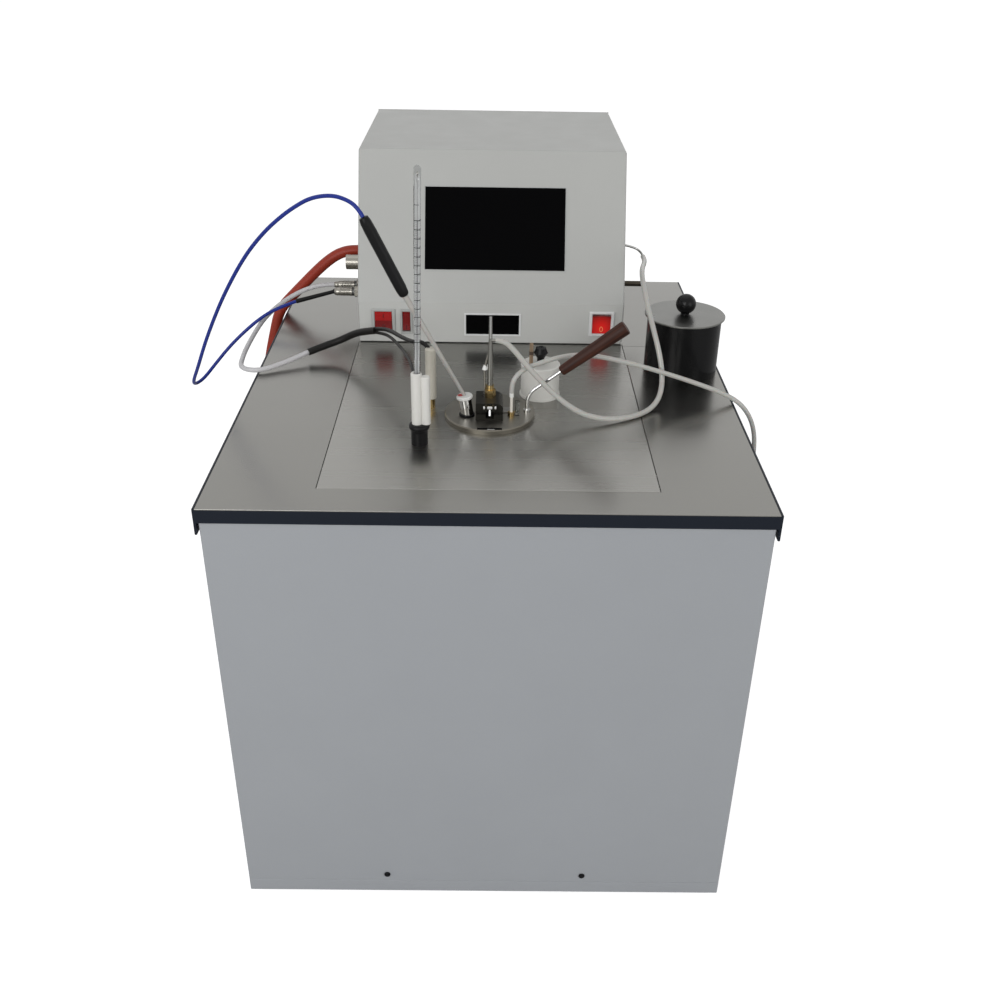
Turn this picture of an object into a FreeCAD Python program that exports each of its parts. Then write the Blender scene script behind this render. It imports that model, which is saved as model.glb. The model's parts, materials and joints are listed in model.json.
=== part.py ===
import FreeCAD, Part
import Sketcher
import math
import os

# Flash point tester: a cooled bath in a floor-standing cabinet, with the test cup and its fittings on the
# worktop and a control box at the back. Millimetres, degrees, kilograms. X runs to the right, Y to the
# back and Z up. The origin is under the middle of the whole instrument, on the surface it stands on.

SIZES = {
    # Cabinet
    "foot_height": 5, "foot_radius": 18, "foot_inset": 45,
    "worktop_width": 560, "worktop_depth": 693, "worktop_height": 530, "worktop_sheet": 1.5,
    "rear_overhang": 97, "shell_inset": 2, "shell_sheet": 1.5, "shell_corner": 1.2,
    "band_height": 14.5, "band_thickness": 2, "lip_height": 29, "lip_thickness": 2.5,
    "tray_skirt": 17.5, "tray_upstand": 40, "tray_sheet": 2, "tray_seam": 0.5, "tray_fit": 0.2,
    "screw_spacing": 229, "screw_height": 33, "screw_head_radius": 3.6, "screw_head_height": 2.2,
    "screw_shank_radius": 1.9, "screw_length": 9, "screw_hole_gap": 0.15,
    "rear_panel_fit": 0.5, "vent_width": 300, "vent_slot": 5, "vent_spacing": 13, "vent_count": 14,
    "vent_bottom": 50,
    # Bath
    "panel_half_width": 170, "panel_front": 44, "panel_back": 436, "panel_gap": 0.5,
    "tank_half_width": 140, "tank_front": 66, "tank_back": 520, "tank_depth": 225, "tank_sheet": 1.5,
    "tank_flange": 22, "foam": 26, "foam_gap": 0.4, "foam_top_gap": 0.3,
    "coil_spacing": 32, "coil_runs": 5, "coil_radius": 4.8, "coil_wall_gap": 9, "coil_half_width": 96,
    "coil_floor_gap": 22, "coil_hole_gap": 0.3, "coil_riser_gap": 14, "coil_tail": 30,
    # Cooling unit
    "compressor_radius": 68, "compressor_height": 150, "compressor_seam": 4, "compressor_inset": 143,
    "compressor_y": 500, "compressor_foot": 14, "compressor_stub_radius": 6, "compressor_stub": 26,
    "compressor_shoulder": 26, "compressor_base": 4, "compressor_stub_offset": 30,
    "condenser_width": 210, "condenser_depth": 36, "condenser_inset": 208,
    "condenser_back_gap": 22,
    "condenser_stand": 3, "fin_spacing": 8, "fin_slot": 5, "fin_count": 23, "fin_margin": 16,
    "fin_border": 10,
    "shroud_depth": 46, "fan_radius": 88, "fan_tip_gap": 4, "fan_hub_radius": 24, "fan_hub_depth": 22,
    "fan_blade": 2.2, "fan_chord": 17, "fan_blade_rise": 12, "fan_count": 5, "fan_axle_radius": 4,
    "fan_axle_gap": 0.05, "fan_strut": 8, "fan_seat": 0.3,
    "inlet_inset": 98, "inlet_z": 90, "inlet_width": 27.6, "inlet_height": 20, "inlet_flange": 11,
    "inlet_flange_thickness": 3, "inlet_depth": 24, "inlet_cavity_width": 24, "inlet_cavity_height": 16.4,
    "inlet_cavity_depth": 20, "inlet_pin_width": 2, "inlet_pin_height": 4, "inlet_pin_length": 14,
    "inlet_pin_spacing": 7, "inlet_earth_rise": 3, "inlet_pin_drop": 2, "inlet_hole_gap": 0.4,
    # Control box
    "box_half_width": 170, "box_front": 434, "box_strip": 50, "box_height": 222, "box_slope_run": 87,
    "box_gap": 4, "box_sheet": 1.5, "box_edge": 2.5, "box_fit": 0.3, "box_foot_radius": 9,
    "box_foot_inset": 24, "box_vent_width": 200, "box_vent_slot": 4, "box_vent_spacing": 12,
    "box_vent_count": 8, "box_vent_bottom": 110,
    "screen_x": 4, "screen_width": 178, "screen_height": 104, "screen_rise": 42,
    "screen_fit": 0.3, "screen_border": 8, "screen_module": 14, "screen_proud": 0.4,
    "display_x": 2, "display_width": 68.4, "display_height": 26, "display_z": 21.8,
    "display_rim": 2.2, "display_proud": 1.2, "display_module": 12, "display_fit": 0.3,
    "display_recess": 0.6,
    "switch_z": 24.9, "main_switch_inset": 28, "main_switch_width": 23.7, "left_switch_inset": 32,
    "left_switch_width": 22.2, "small_switch_spacing": 29.5, "small_switch_width": 10.1,
    "switch_opening": 26.4, "switch_rim_side": 4.2, "small_rim_side": 2.6, "switch_rim_end": 3.2,
    "switch_rim_proud": 2.4, "switch_case": 21, "switch_wall": 1.2, "switch_cavity": 12,
    "switch_fit": 0.3, "rocker_side_gap": 0.3, "rocker_end_gap": 1.3, "rocker_tilt": 7,
    "rocker_pivot": 5.5, "rocker_front": 2.6, "rocker_back": 4.4, "rocker_pin_radius": 1.2,
    "rocker_pin_gap": 0.05, "rocker_waist": 1.6, "rocker_pin_length": 0.9,
    "board_width": 220, "board_depth": 150, "board_thickness": 1.6, "board_standoff": 12,
    "board_standoff_radius": 3, "board_back_gap": 40, "board_chip": 34, "board_chip_height": 11,
    "board_block_width": 120, "board_block_depth": 16, "board_block_height": 18,
    "board_transformer": 54, "board_transformer_height": 46, "board_margin": 14,
    # Bath stirrer, driven by a motor in the control box
    "stirrer_x": 60, "stirrer_y": 480, "stirrer_shaft_radius": 4, "stirrer_gap": 0.05,
    "stirrer_floor_gap": 36.5, "stirrer_hub_radius": 8, "stirrer_hub_height": 12, "stirrer_blade_reach": 20,
    "stirrer_blade": 2, "stirrer_blade_count": 4, "stirrer_collar_radius": 7, "stirrer_collar_height": 6,
    "stirrer_passage_gap": 1.5, "bush_radius": 12, "bush_flange_radius": 18, "bush_flange": 3,
    "bush_depth": 30, "motor_radius": 26, "motor_height": 55, "motor_standoff": 6, "motor_bore": 10,
    "motor_leg_radius": 2.5, "motor_leg_circle": 20, "motor_leg_count": 3, "motor_end_gap": 1,
    # Connectors on the walls
    "socket_front_y": 110, "socket_back_y": 138, "socket_z": 573, "socket_nut_radius": 7.6,
    "socket_nut_length": 12, "socket_tail": 8, "socket_tail_radius": 5, "socket_collar_radius": 5.6,
    "socket_collar": 3, "third_socket_y": 124, "third_socket_z": 609, "third_socket_radius": 9.6,
    "third_socket_length": 23, "third_socket_bore_radius": 6.6, "third_socket_bore": 14,
    "hose_port_y": 150, "hose_port_z": 617, "hose_radius": 7.2, "hose_port_radius": 9,
    "hose_port_length": 8, "elbow_y": 150, "elbow_z": 313, "elbow_flange_radius": 12, "elbow_reach": 20,
    "elbow_rise": 24, "elbow_stub_radius": 6, "elbow_collar": 5, "elbow_collar_radius": 9,
    "side_port_length": 4.2,
    "nipple_y": 112, "nipple_z": 588.5, "nipple_radius": 3.6, "nipple_length": 34, "nipple_nut_radius": 8,
    "nipple_nut_length": 6,
    "gas_port_y": 105, "gas_port_z": 643, "gas_port_radius": 5, "gas_port_length": 3, "gas_pipe_radius": 1.5,
    "pipe_reach": 25, "pipe_run": 19, "pipe_drop": 9.5,
    "cable_port_y": -152, "cable_port_z": 424, "cable_port_radius": 7,
    "plug_radius": 5.8, "plug_length": 24, "boot_radius": 3.2, "boot_end_radius": 2.6,
    # Test cup and its lid
    "cup_y": 216.8, "lid_radius": 50.5, "lid_thickness": 5, "lid_edge": 1,
    "lid_slot_length": 27, "lid_slot_width": 5, "lid_slot_depth": 2.4, "lid_slot_offset": 45.5,
    "cup_bore_radius": 27, "cup_wall": 2.5, "cup_depth": 56, "cup_floor": 3, "cup_flange_radius": 36,
    "cup_flange": 1.5, "cup_hole_gap": 0.5, "cup_seat_gap": 0.3, "port_radius": 4,
    "block_left": -15.5, "block_right": 14.6, "block_front_offset": 19.8, "block_depth": 34,
    "block_height": 18, "block_round": 7, "channel_width": 12, "channel_height": 2.3,
    "channel_offset": 5.5, "slide_gap": 0.15, "slide_length": 40, "slide_travel": 8, "slide_tab": 6,
    "slide_tab_thickness": 1.6, "orifice_radius": 3,
    "step_depth": 5, "step_height": 7, "notch_width": 9, "notch_depth": 9,
    "jet_pivot_height": 14.5, "jet_pivot_offset": 4, "jet_axle_radius": 1.2, "jet_axle_length": 14,
    "jet_gap": 0.05, "jet_nozzle_radius": 1.5, "jet_nozzle_length": 8.5, "jet_hub_radius": 2.3,
    "jet_hub_length": 5, "jet_ear": 2.4, "jet_ear_gap": 0.3, "jet_ear_reach": 3, "jet_tilt": 24,
    "jet_knob_radius": 2.2, "jet_knob": 1.6,
    "nut_radius": 6.4, "nut_height": 9, "nut_neck_radius": 4.4, "nut_neck": 5,
    "riser_radius": 3.4, "riser_top_radius": 2.1, "riser_shoulder": 34, "riser_elbow_z": 619.4,
    "riser_height": 646, "riser_tip_radius": 1.6, "riser_elbow_radius": 1.9, "riser_elbow": 5.5,
    "pilot_offset": 6, "pilot_radius": 1.2, "pilot_cone_z": 585.5, "pilot_cone_radius": 3.2,
    "pilot_cone": 5, "pilot_top": 612,
    "probe_x": -25, "probe_offset": 10.5, "probe_socket_radius": 7.2, "probe_socket_height": 20,
    "probe_tilt": 8, "probe_cap_radius": 9, "probe_cap": 4, "probe_cap_edge": 1,
    "probe_rod_foot_radius": 1.9, "probe_rod_radius": 3.3, "probe_rod_sink": 3, "probe_rod_gap": 0.3,
    "probe_bend_x": -91.2, "probe_bend_y": -179, "probe_bend_z": 668.3,
    "probe_top_x": -131.7, "probe_top_y": -179, "probe_top_z": 751.7,
    "probe_handle_radius": 6.3, "probe_handle_neck_radius": 4.4, "probe_handle_taper": 12,
    "handle_x": 41.7, "handle_rod_radius": 2, "handle_foot_radius": 4.2, "handle_foot": 3,
    "handle_bend_radius": 22, "handle_rod_sink": 12, "grip_radius": 8.2,
    "grip_length": 86, "grip_edge": 2.4, "grip_tilt": 52.5, "grip_start_x": 78, "grip_start_z": 584,
    "igniter_x": 24, "igniter_offset": 10, "igniter_base_radius": 4, "igniter_base": 4,
    "igniter_radius": 1.7, "igniter_height": 27.2, "igniter_cap_radius": 2.5, "igniter_cap": 5,
    "guard_gap": 6.5, "guard_radius": 2.6, "guard_height": 17, "guard_wall": 0.7,
    # Sensors, thermometer, filler and cover
    "bung_x": -74.3, "bung_y": 145, "bung_radius": 8.9, "bung_lip_radius": 9.7, "bung_lip": 6,
    "bung_height": 23.5, "bung_flare": 3, "bung_spigot_radius": 7.2, "bung_spigot": 9,
    "holder_height": 57.5, "holder_left_x": -76.2, "holder_left_radius": 5.8, "holder_right_x": -66.9,
    "holder_right_radius": 5, "holder_edge": 1, "holder_right_drop": 4, "thermometer_radius": 3.55,
    "thermometer_gap": 0.3, "thermometer_foot": 111, "thermometer_length": 321, "thermometer_tilt": 1.4,
    "thermometer_stem": 68, "thermometer_stem_radius": 2.6, "thermometer_dome": 2.5,
    "thermometer_x": -77.95,
    "tall_x": -66.5, "tall_y": 236, "tall_radius": 6.1, "tall_height": 72, "tall_foot": 12,
    "tall_foot_radius": 4.4, "tall_edge": 1.4, "tall_stem_radius": 2.6, "tall_stem": 50,
    "jar_x": 58, "jar_y": 276, "jar_radius": 22.2, "jar_height": 35, "jar_wall": 3, "jar_foot_radius": 23.5,
    "jar_foot": 2.5, "jar_hole_radius": 12, "jar_lid": 4, "jar_lid_radius": 22.6, "jar_lid_edge": 1.2,
    "jar_plug": 5, "jar_plug_gap": 0.4, "jar_seat": 0.1, "jar_knob_radius": 8.3, "jar_knob_waist": 4.3,
    "jar_knob_height": 20, "jar_knob_flare": 13, "jar_knob_dome": 4, "stick_width": 4.2,
    "stick_length": 26, "stick_dx": -11, "stick_sink": 2, "stick_gap": 0.1,
    "cover_x": 234.2, "cover_y": 357.9, "cover_radius": 44.3, "cover_wall": 2, "cover_height": 69,
    "cover_disc_radius": 48.2, "cover_disc_thickness": 2.5, "cover_disc_edge": 0.8, "cover_seat": 0.1,
    "cover_knob_radius": 12, "cover_knob_neck": 1.4, "cover_knob_neck_radius": 5,
    # Loose leads and tubes
    "blue_radius": 2.2, "white_radius": 3, "sleeve_radius": 4.4, "tall_lead_radius": 2.4,
    "short_lead_radius": 1.8, "lead_bore_gap": 0.1, "gas_radius": 3,
    "igniter_cable_radius": 2.7,
}

doc = FreeCAD.newDocument("FlashPointTester")
sheet = doc.addObject("Spreadsheet::Sheet", "Sizes")
for row, alias in enumerate(SIZES, start=1):
    sheet.set(f"A{row}", alias)
    sheet.set(f"B{row}", str(SIZES[alias]))
    sheet.setAlias(f"B{row}", alias)
doc.recompute()


class Size:
    """A number together with the sheet expression that it comes from."""

    def __init__(self, value, text):
        self.value = value
        self.text = text

    def __add__(self, other):
        other = sized(other)
        return Size(self.value + other.value, f"({self.text} + {other.text})")

    def __radd__(self, other):
        return sized(other) + self

    def __sub__(self, other):
        other = sized(other)
        return Size(self.value - other.value, f"({self.text} - {other.text})")

    def __rsub__(self, other):
        return sized(other) - self

    def __mul__(self, other):
        other = sized(other)
        return Size(self.value * other.value, f"({self.text} * {other.text})")

    def __rmul__(self, other):
        return sized(other) * self

    def __truediv__(self, other):
        other = sized(other)
        return Size(self.value / other.value, f"({self.text} / {other.text})")

    def __neg__(self):
        return Size(-self.value, f"(0 - {self.text})")


def sized(number):
    if isinstance(number, Size):
        return number
    return Size(float(number), f"({number})")


class Sheet:
    """Every alias of the sheet as a Size."""

    def __getattr__(self, alias):
        return Size(float(sheet.get(alias)), f"Sizes.{alias}")


s = Sheet()
NODES = []


def node(obj, label):
    """Names a finished sub-part."""
    obj.Label = label
    NODES.append(obj)
    return obj


def bind(obj, path, size):
    size = sized(size)
    obj.setExpression(path, size.text)


def place(obj, x=0, y=0, z=0, axis=(0, 0, 1), angle=0):
    """Sets a place whose coordinates follow the sheet, and a turn in degrees."""
    angle = sized(angle).value
    obj.Placement = FreeCAD.Placement(FreeCAD.Vector(0, 0, 0), FreeCAD.Rotation(FreeCAD.Vector(axis), angle))
    bind(obj, "Placement.Base.x", x)
    bind(obj, "Placement.Base.y", y)
    bind(obj, "Placement.Base.z", z)
    return obj


def aim(obj, start, end):
    """Sets a place at start whose own Z axis points to end."""
    low = FreeCAD.Vector(*[sized(c).value for c in start])
    high = FreeCAD.Vector(*[sized(c).value for c in end])
    turn = FreeCAD.Rotation(FreeCAD.Vector(0, 0, 1), high - low)
    obj.Placement = FreeCAD.Placement(FreeCAD.Vector(0, 0, 0), turn)
    bind(obj, "Placement.Base.x", start[0])
    bind(obj, "Placement.Base.y", start[1])
    bind(obj, "Placement.Base.z", start[2])
    return obj


def distance(start, end):
    return math.dist([sized(c).value for c in start], [sized(c).value for c in end])


def body(name):
    return doc.addObject("PartDesign::Body", name)


def rectangle(x0, y0, x1, y1):
    return [(x0, y0), (x1, y0), (x1, y1), (x0, y1)]


def circle(x, y, radius):
    return ("circle", x, y, radius)


def sketch(owner, plane, loops, offset=0):
    """Draws closed loops on one of a body's origin planes, each point bound to the sheet."""
    drawing = owner.newObject("Sketcher::SketchObject", "Sketch")
    support = [plane_of for plane_of in owner.Origin.OriginFeatures if plane_of.Role == plane + "_Plane"][0]
    drawing.AttachmentSupport = (support, [""])
    drawing.MapMode = "FlatFace"
    bind(drawing, "AttachmentOffset.Base.z", offset)
    for loop in loops:
        if loop[0] == "circle":
            draw_circle(drawing, *loop[1:])
        else:
            draw_polygon(drawing, loop)
    doc.recompute()
    return drawing


def pin_point(drawing, geometry, corner, x, y):
    """Fixes a point of the drawing from its origin."""
    for kind, size in (("DistanceX", sized(x)), ("DistanceY", sized(y))):
        number = drawing.addConstraint(Sketcher.Constraint(kind, -1, 1, geometry, corner, size.value))
        drawing.setExpression(f"Constraints[{number}]", size.text)


def draw_circle(drawing, x, y, radius):
    centre = FreeCAD.Vector(sized(x).value, sized(y).value, 0)
    ring = drawing.addGeometry(Part.Circle(centre, FreeCAD.Vector(0, 0, 1), sized(radius).value))
    number = drawing.addConstraint(Sketcher.Constraint("Radius", ring, sized(radius).value))
    drawing.setExpression(f"Constraints[{number}]", sized(radius).text)
    pin_point(drawing, ring, 3, x, y)


def draw_polygon(drawing, points):
    corners = [FreeCAD.Vector(sized(x).value, sized(y).value, 0) for x, y in points]
    lines = []
    for start, end in zip(corners, corners[1:] + corners[:1]):
        lines.append(drawing.addGeometry(Part.LineSegment(start, end)))
    for line, following in zip(lines, lines[1:] + lines[:1]):
        drawing.addConstraint(Sketcher.Constraint("Coincident", line, 2, following, 1))
    for line, (x, y) in zip(lines, points):
        pin_point(drawing, line, 1, x, y)


def pad(owner, plane, loops, start, length):
    """Adds the loops as a solid, from start along the plane's normal."""
    feature = owner.newObject("PartDesign::Pad", "Pad")
    feature.Profile = sketch(owner, plane, loops, start)
    bind(feature, "Length", length)
    doc.recompute()
    return feature


def pocket(owner, plane, loops, start, length):
    """Cuts the loops out of the solid, from start against the plane's normal."""
    before = owner.Shape.Volume
    feature = owner.newObject("PartDesign::Pocket", "Pocket")
    feature.Profile = sketch(owner, plane, loops, start)
    bind(feature, "Length", length)
    doc.recompute()
    if owner.Shape.Volume >= before:
        raise RuntimeError(f"a pocket of {owner.Name} cuts nothing")
    return feature


def turned(name, profile):
    """A solid of revolution about its own Z axis, from points of radius and height."""
    owner = body(name)
    feature = owner.newObject("PartDesign::Revolution", "Revolution")
    drawing = sketch(owner, "XZ", [profile])
    feature.Profile = drawing
    feature.ReferenceAxis = (drawing, ["V_Axis"])
    feature.Angle = 360
    doc.recompute()
    return owner


def repeat(owner, feature, axis_role, length, count):
    """Repeats a feature along one of the body's axes."""
    pattern = owner.newObject("PartDesign::LinearPattern", "LinearPattern")
    pattern.Originals = [feature]
    axis = [line for line in owner.Origin.OriginFeatures if line.Role == axis_role][0]
    pattern.Direction = (axis, [""])
    bind(pattern, "Length", length)
    bind(pattern, "Occurrences", count)
    owner.Tip = pattern
    doc.recompute()
    return pattern


def around(owner, feature, count):
    """Repeats a feature about the body's Z axis."""
    pattern = owner.newObject("PartDesign::PolarPattern", "PolarPattern")
    pattern.Originals = [feature]
    axis = [line for line in owner.Origin.OriginFeatures if line.Role == "Z_Axis"][0]
    pattern.Axis = (axis, [""])
    pattern.Angle = 360
    bind(pattern, "Occurrences", count)
    owner.Tip = pattern
    doc.recompute()
    return pattern


def edges_where(shape, test):
    return [f"Edge{number}" for number, edge in enumerate(shape.Edges, start=1) if test(edge)]


def rounded(owner, test, radius):
    """Rounds the edges of the body's tip that pass the test."""
    tip = owner.Tip
    names = edges_where(tip.Shape, test)
    feature = owner.newObject("PartDesign::Fillet", "Fillet")
    feature.Base = (tip, names)
    bind(feature, "Radius", radius)
    doc.recompute()
    return feature


def bevelled(owner, test, size):
    """Chamfers the edges of the body's tip that pass the test."""
    tip = owner.Tip
    names = edges_where(tip.Shape, test)
    feature = owner.newObject("PartDesign::Chamfer", "Chamfer")
    feature.Base = (tip, names)
    bind(feature, "Size", size)
    doc.recompute()
    return feature


def upright(edge):
    box = edge.BoundBox
    return box.XLength + box.YLength < box.ZLength * 0.01


def box(x0, y0, z0, x1, y1, z1):
    """A Part box between two corners."""
    obj = doc.addObject("Part::Box", "Box")
    bind(obj, "Length", sized(x1) - x0)
    bind(obj, "Width", sized(y1) - y0)
    bind(obj, "Height", sized(z1) - z0)
    return place(obj, x0, y0, z0)


AXIS_TURNS = {"x": ((0, 1, 0), 90), "y": ((1, 0, 0), -90), "z": ((0, 0, 1), 0)}


def cylinder(radius, length, x, y, z, along="z"):
    """A Part cylinder that starts at a point and runs along a row axis."""
    obj = doc.addObject("Part::Cylinder", "Cylinder")
    bind(obj, "Radius", radius)
    bind(obj, "Height", length)
    axis, angle = AXIS_TURNS[along]
    return place(obj, x, y, z, axis, angle)


def cone(radius, end_radius, length, x, y, z, along="z"):
    obj = doc.addObject("Part::Cone", "Cone")
    bind(obj, "Radius1", radius)
    bind(obj, "Radius2", end_radius)
    bind(obj, "Height", length)
    axis, angle = AXIS_TURNS[along]
    return place(obj, x, y, z, axis, angle)


def ball(radius, x, y, z):
    obj = doc.addObject("Part::Sphere", "Sphere")
    bind(obj, "Radius", radius)
    return place(obj, x, y, z)


def hexagon(radius, length, x, y, z, along="z"):
    obj = doc.addObject("Part::Prism", "Prism")
    obj.Polygon = 6
    bind(obj, "Circumradius", radius)
    bind(obj, "Height", length)
    axis, angle = AXIS_TURNS[along]
    return place(obj, x, y, z, axis, angle)


def fused(pieces):
    if len(pieces) == 1:
        return pieces[0]
    obj = doc.addObject("Part::MultiFuse", "Fusion")
    obj.Shapes = pieces
    doc.recompute()
    return obj


def cut(base, tools):
    """Takes the tools out of the base."""
    obj = doc.addObject("Part::Cut", "Cut")
    obj.Base = base
    obj.Tool = fused(tools)
    doc.recompute()
    return obj


def group(pieces):
    """Separate solids that share one name."""
    obj = doc.addObject("Part::Compound", "Compound")
    obj.Links = pieces
    doc.recompute()
    return obj


# Places that several sub-parts share
FRONT = -(s.worktop_depth + s.rear_overhang) / 2
REAR = FRONT + s.worktop_depth
TOP = s.worktop_height
UNDER = TOP - s.worktop_sheet
SHELL_X = s.worktop_width / 2 - s.shell_inset
SHELL_FRONT = FRONT + s.band_thickness
SHELL_REAR = REAR - s.band_thickness
TRAY_TOP = s.foot_height + s.tray_skirt
FLOOR = s.foot_height + s.tray_sheet
CUP_Y = FRONT + s.cup_y
LID_TOP = TOP + s.lid_thickness
TANK_FLOOR = UNDER - s.tank_depth
BOX_FRONT = FRONT + s.box_front
BOX_BOTTOM = TOP + s.box_gap
BOX_CREASE = BOX_BOTTOM + s.box_strip
BOX_TOP = BOX_BOTTOM + s.box_height
BOX_REAR = REAR + s.rear_overhang
BOX_LEAN = math.degrees(math.atan2(s.box_slope_run.value, s.box_height.value - s.box_strip.value))
COIL_Y = FRONT + s.tank_back - s.coil_wall_gap
COIL_RISER_X = s.coil_half_width + s.coil_spacing / 2 + s.coil_riser_gap
COMPRESSOR_X = s.compressor_inset - SHELL_X
CONDENSER_X = SHELL_X - s.condenser_inset
INLET_X = s.inlet_inset - SHELL_X
STIRRER_Y = FRONT + s.stirrer_y


# Cabinet

def rubber_feet():
    feet = []
    for x in (-SHELL_X + s.foot_inset, SHELL_X - s.foot_inset):
        for y in (SHELL_FRONT + s.foot_inset, SHELL_REAR - s.foot_inset):
            feet.append(cylinder(s.foot_radius, s.foot_height, x, y, 0))
    return group(feet)


def tray_loop(inset):
    return rectangle(-SHELL_X + inset, SHELL_FRONT + inset, SHELL_X - inset, SHELL_REAR - inset)


def base_tray():
    owner = body("BaseTray")
    ledge = s.shell_sheet + s.tray_fit
    pad(owner, "XY", [tray_loop(0)], s.foot_height, s.tray_skirt)
    pad(owner, "XY", [tray_loop(ledge)], s.foot_height, s.tray_upstand)
    inside = s.tray_upstand - s.tray_sheet
    pocket(owner, "XY", [tray_loop(ledge + s.tray_sheet)], s.foot_height + s.tray_upstand, inside)
    return cut(owner, screw_cylinders(s.screw_shank_radius + s.screw_hole_gap, s.screw_length))


def screw_cylinders(radius, length):
    bores = []
    for side in (-1, 1):
        bores.append(cylinder(radius, length, side * s.screw_spacing / 2, SHELL_FRONT, s.screw_height, "y"))
    return bores


def panel_screws():
    screws = []
    head_front = SHELL_FRONT - s.screw_head_height
    for side, shank in zip((-1, 1), screw_cylinders(s.screw_shank_radius, s.screw_length)):
        x = side * s.screw_spacing / 2
        head = cylinder(s.screw_head_radius, s.screw_head_height, x, head_front, s.screw_height, "y")
        screws.append(fused([head, shank]))
    return group(screws)


def cabinet_shell():
    """Front and sides, folded from one sheet."""
    owner = body("CabinetShell")
    inner = s.shell_sheet
    loop = [(-SHELL_X, SHELL_REAR), (-SHELL_X, SHELL_FRONT), (SHELL_X, SHELL_FRONT), (SHELL_X, SHELL_REAR),
            (SHELL_X - inner, SHELL_REAR), (SHELL_X - inner, SHELL_FRONT + inner),
            (-SHELL_X + inner, SHELL_FRONT + inner), (-SHELL_X + inner, SHELL_REAR)]
    bottom = TRAY_TOP + s.tray_seam
    pad(owner, "XY", [loop], bottom, UNDER - bottom)
    corner_y = SHELL_FRONT.value
    corner_x = SHELL_X.value

    def front_corner(edge):
        middle = edge.CenterOfMass
        return upright(edge) and abs(middle.y - corner_y) < 0.01 and abs(abs(middle.x) - corner_x) < 0.01

    rounded(owner, front_corner, s.shell_corner)
    holes = screw_cylinders(s.screw_shank_radius + s.screw_hole_gap, s.screw_length)
    holes.append(cylinder(s.elbow_stub_radius, s.foam, -SHELL_X - s.shell_sheet, s.elbow_y, s.elbow_z, "x"))
    holes.append(cylinder(s.igniter_cable_radius, s.foam, SHELL_X - s.foam + s.shell_sheet,
                          s.cable_port_y, s.cable_port_z, "x"))
    return cut(owner, holes)


def rear_panel():
    owner = body("RearPanel")
    half = SHELL_X - s.shell_sheet - s.rear_panel_fit
    bottom = s.foot_height + s.tray_upstand + s.tray_seam
    sheet_loop = rectangle(-half, bottom, half, UNDER)
    pad(owner, "XZ", [sheet_loop], -SHELL_REAR, s.shell_sheet)
    low = bottom + s.vent_bottom
    slot = rectangle(CONDENSER_X - s.vent_width / 2, low, CONDENSER_X + s.vent_width / 2, low + s.vent_slot)
    front_face = -SHELL_REAR + s.shell_sheet
    feature = pocket(owner, "XZ", [slot], front_face, s.shell_sheet)
    repeat(owner, feature, "Z_Axis", s.vent_spacing * (s.vent_count - 1), s.vent_count)
    gap = s.inlet_hole_gap
    hole = rectangle(INLET_X - s.inlet_width / 2 - gap, s.inlet_z - s.inlet_height / 2 - gap,
                     INLET_X + s.inlet_width / 2 + gap, s.inlet_z + s.inlet_height / 2 + gap)
    pocket(owner, "XZ", [hole], front_face, s.shell_sheet)
    return owner


def mains_inlet():
    """The socket that a mains lead would plug into."""
    half_w = s.inlet_width / 2
    half_h = s.inlet_height / 2
    face = SHELL_REAR + s.inlet_flange_thickness
    flange = box(INLET_X - half_w - s.inlet_flange, SHELL_REAR, s.inlet_z - half_h - s.inlet_pin_drop,
                 INLET_X + half_w + s.inlet_flange, face, s.inlet_z + half_h + s.inlet_pin_drop)
    case = box(INLET_X - half_w, face - s.inlet_depth, s.inlet_z - half_h,
               INLET_X + half_w, face, s.inlet_z + half_h)
    cavity = box(INLET_X - s.inlet_cavity_width / 2, face - s.inlet_cavity_depth,
                 s.inlet_z - s.inlet_cavity_height / 2, INLET_X + s.inlet_cavity_width / 2,
                 face + s.inlet_flange, s.inlet_z + s.inlet_cavity_height / 2)
    housing = cut(fused([flange, case]), [cavity])
    pins = []
    for dx, dz in ((-s.inlet_pin_spacing, -s.inlet_pin_drop), (0 * s.inlet_pin_spacing, s.inlet_earth_rise),
                   (s.inlet_pin_spacing, -s.inlet_pin_drop)):
        x = INLET_X + dx
        z = s.inlet_z + dz
        pins.append(box(x - s.inlet_pin_width / 2, face - s.inlet_cavity_depth, z - s.inlet_pin_height / 2,
                        x + s.inlet_pin_width / 2, face - s.inlet_cavity_depth + s.inlet_pin_length,
                        z + s.inlet_pin_height / 2))
    return fused([housing] + pins)


def worktop():
    owner = body("Worktop")
    edge = rectangle(-s.worktop_width / 2, FRONT, s.worktop_width / 2, REAR)
    half = s.panel_half_width + s.panel_gap
    hole = rectangle(-half, FRONT + s.panel_front - s.panel_gap, half, FRONT + s.panel_back + s.panel_gap)
    bush_hole = circle(s.stirrer_x, STIRRER_Y, s.bush_radius + s.panel_gap)
    pad(owner, "XY", [edge, hole, bush_hole], UNDER, s.worktop_sheet)
    return owner


def worktop_trim():
    owner = body("WorktopTrim")
    inner_x = s.worktop_width / 2
    outer_x = inner_x + s.lip_thickness
    ring = rectangle(-outer_x, FRONT, outer_x, REAR)
    inside = rectangle(-inner_x, FRONT + s.band_thickness, inner_x, REAR - s.band_thickness)
    pad(owner, "XY", [ring, inside], UNDER - s.band_height, s.band_height)
    left = rectangle(-outer_x, FRONT, -inner_x, REAR)
    right = rectangle(inner_x, FRONT, outer_x, REAR)
    pad(owner, "XY", [left, right], TOP - s.lip_height, s.lip_height)
    return owner


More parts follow.
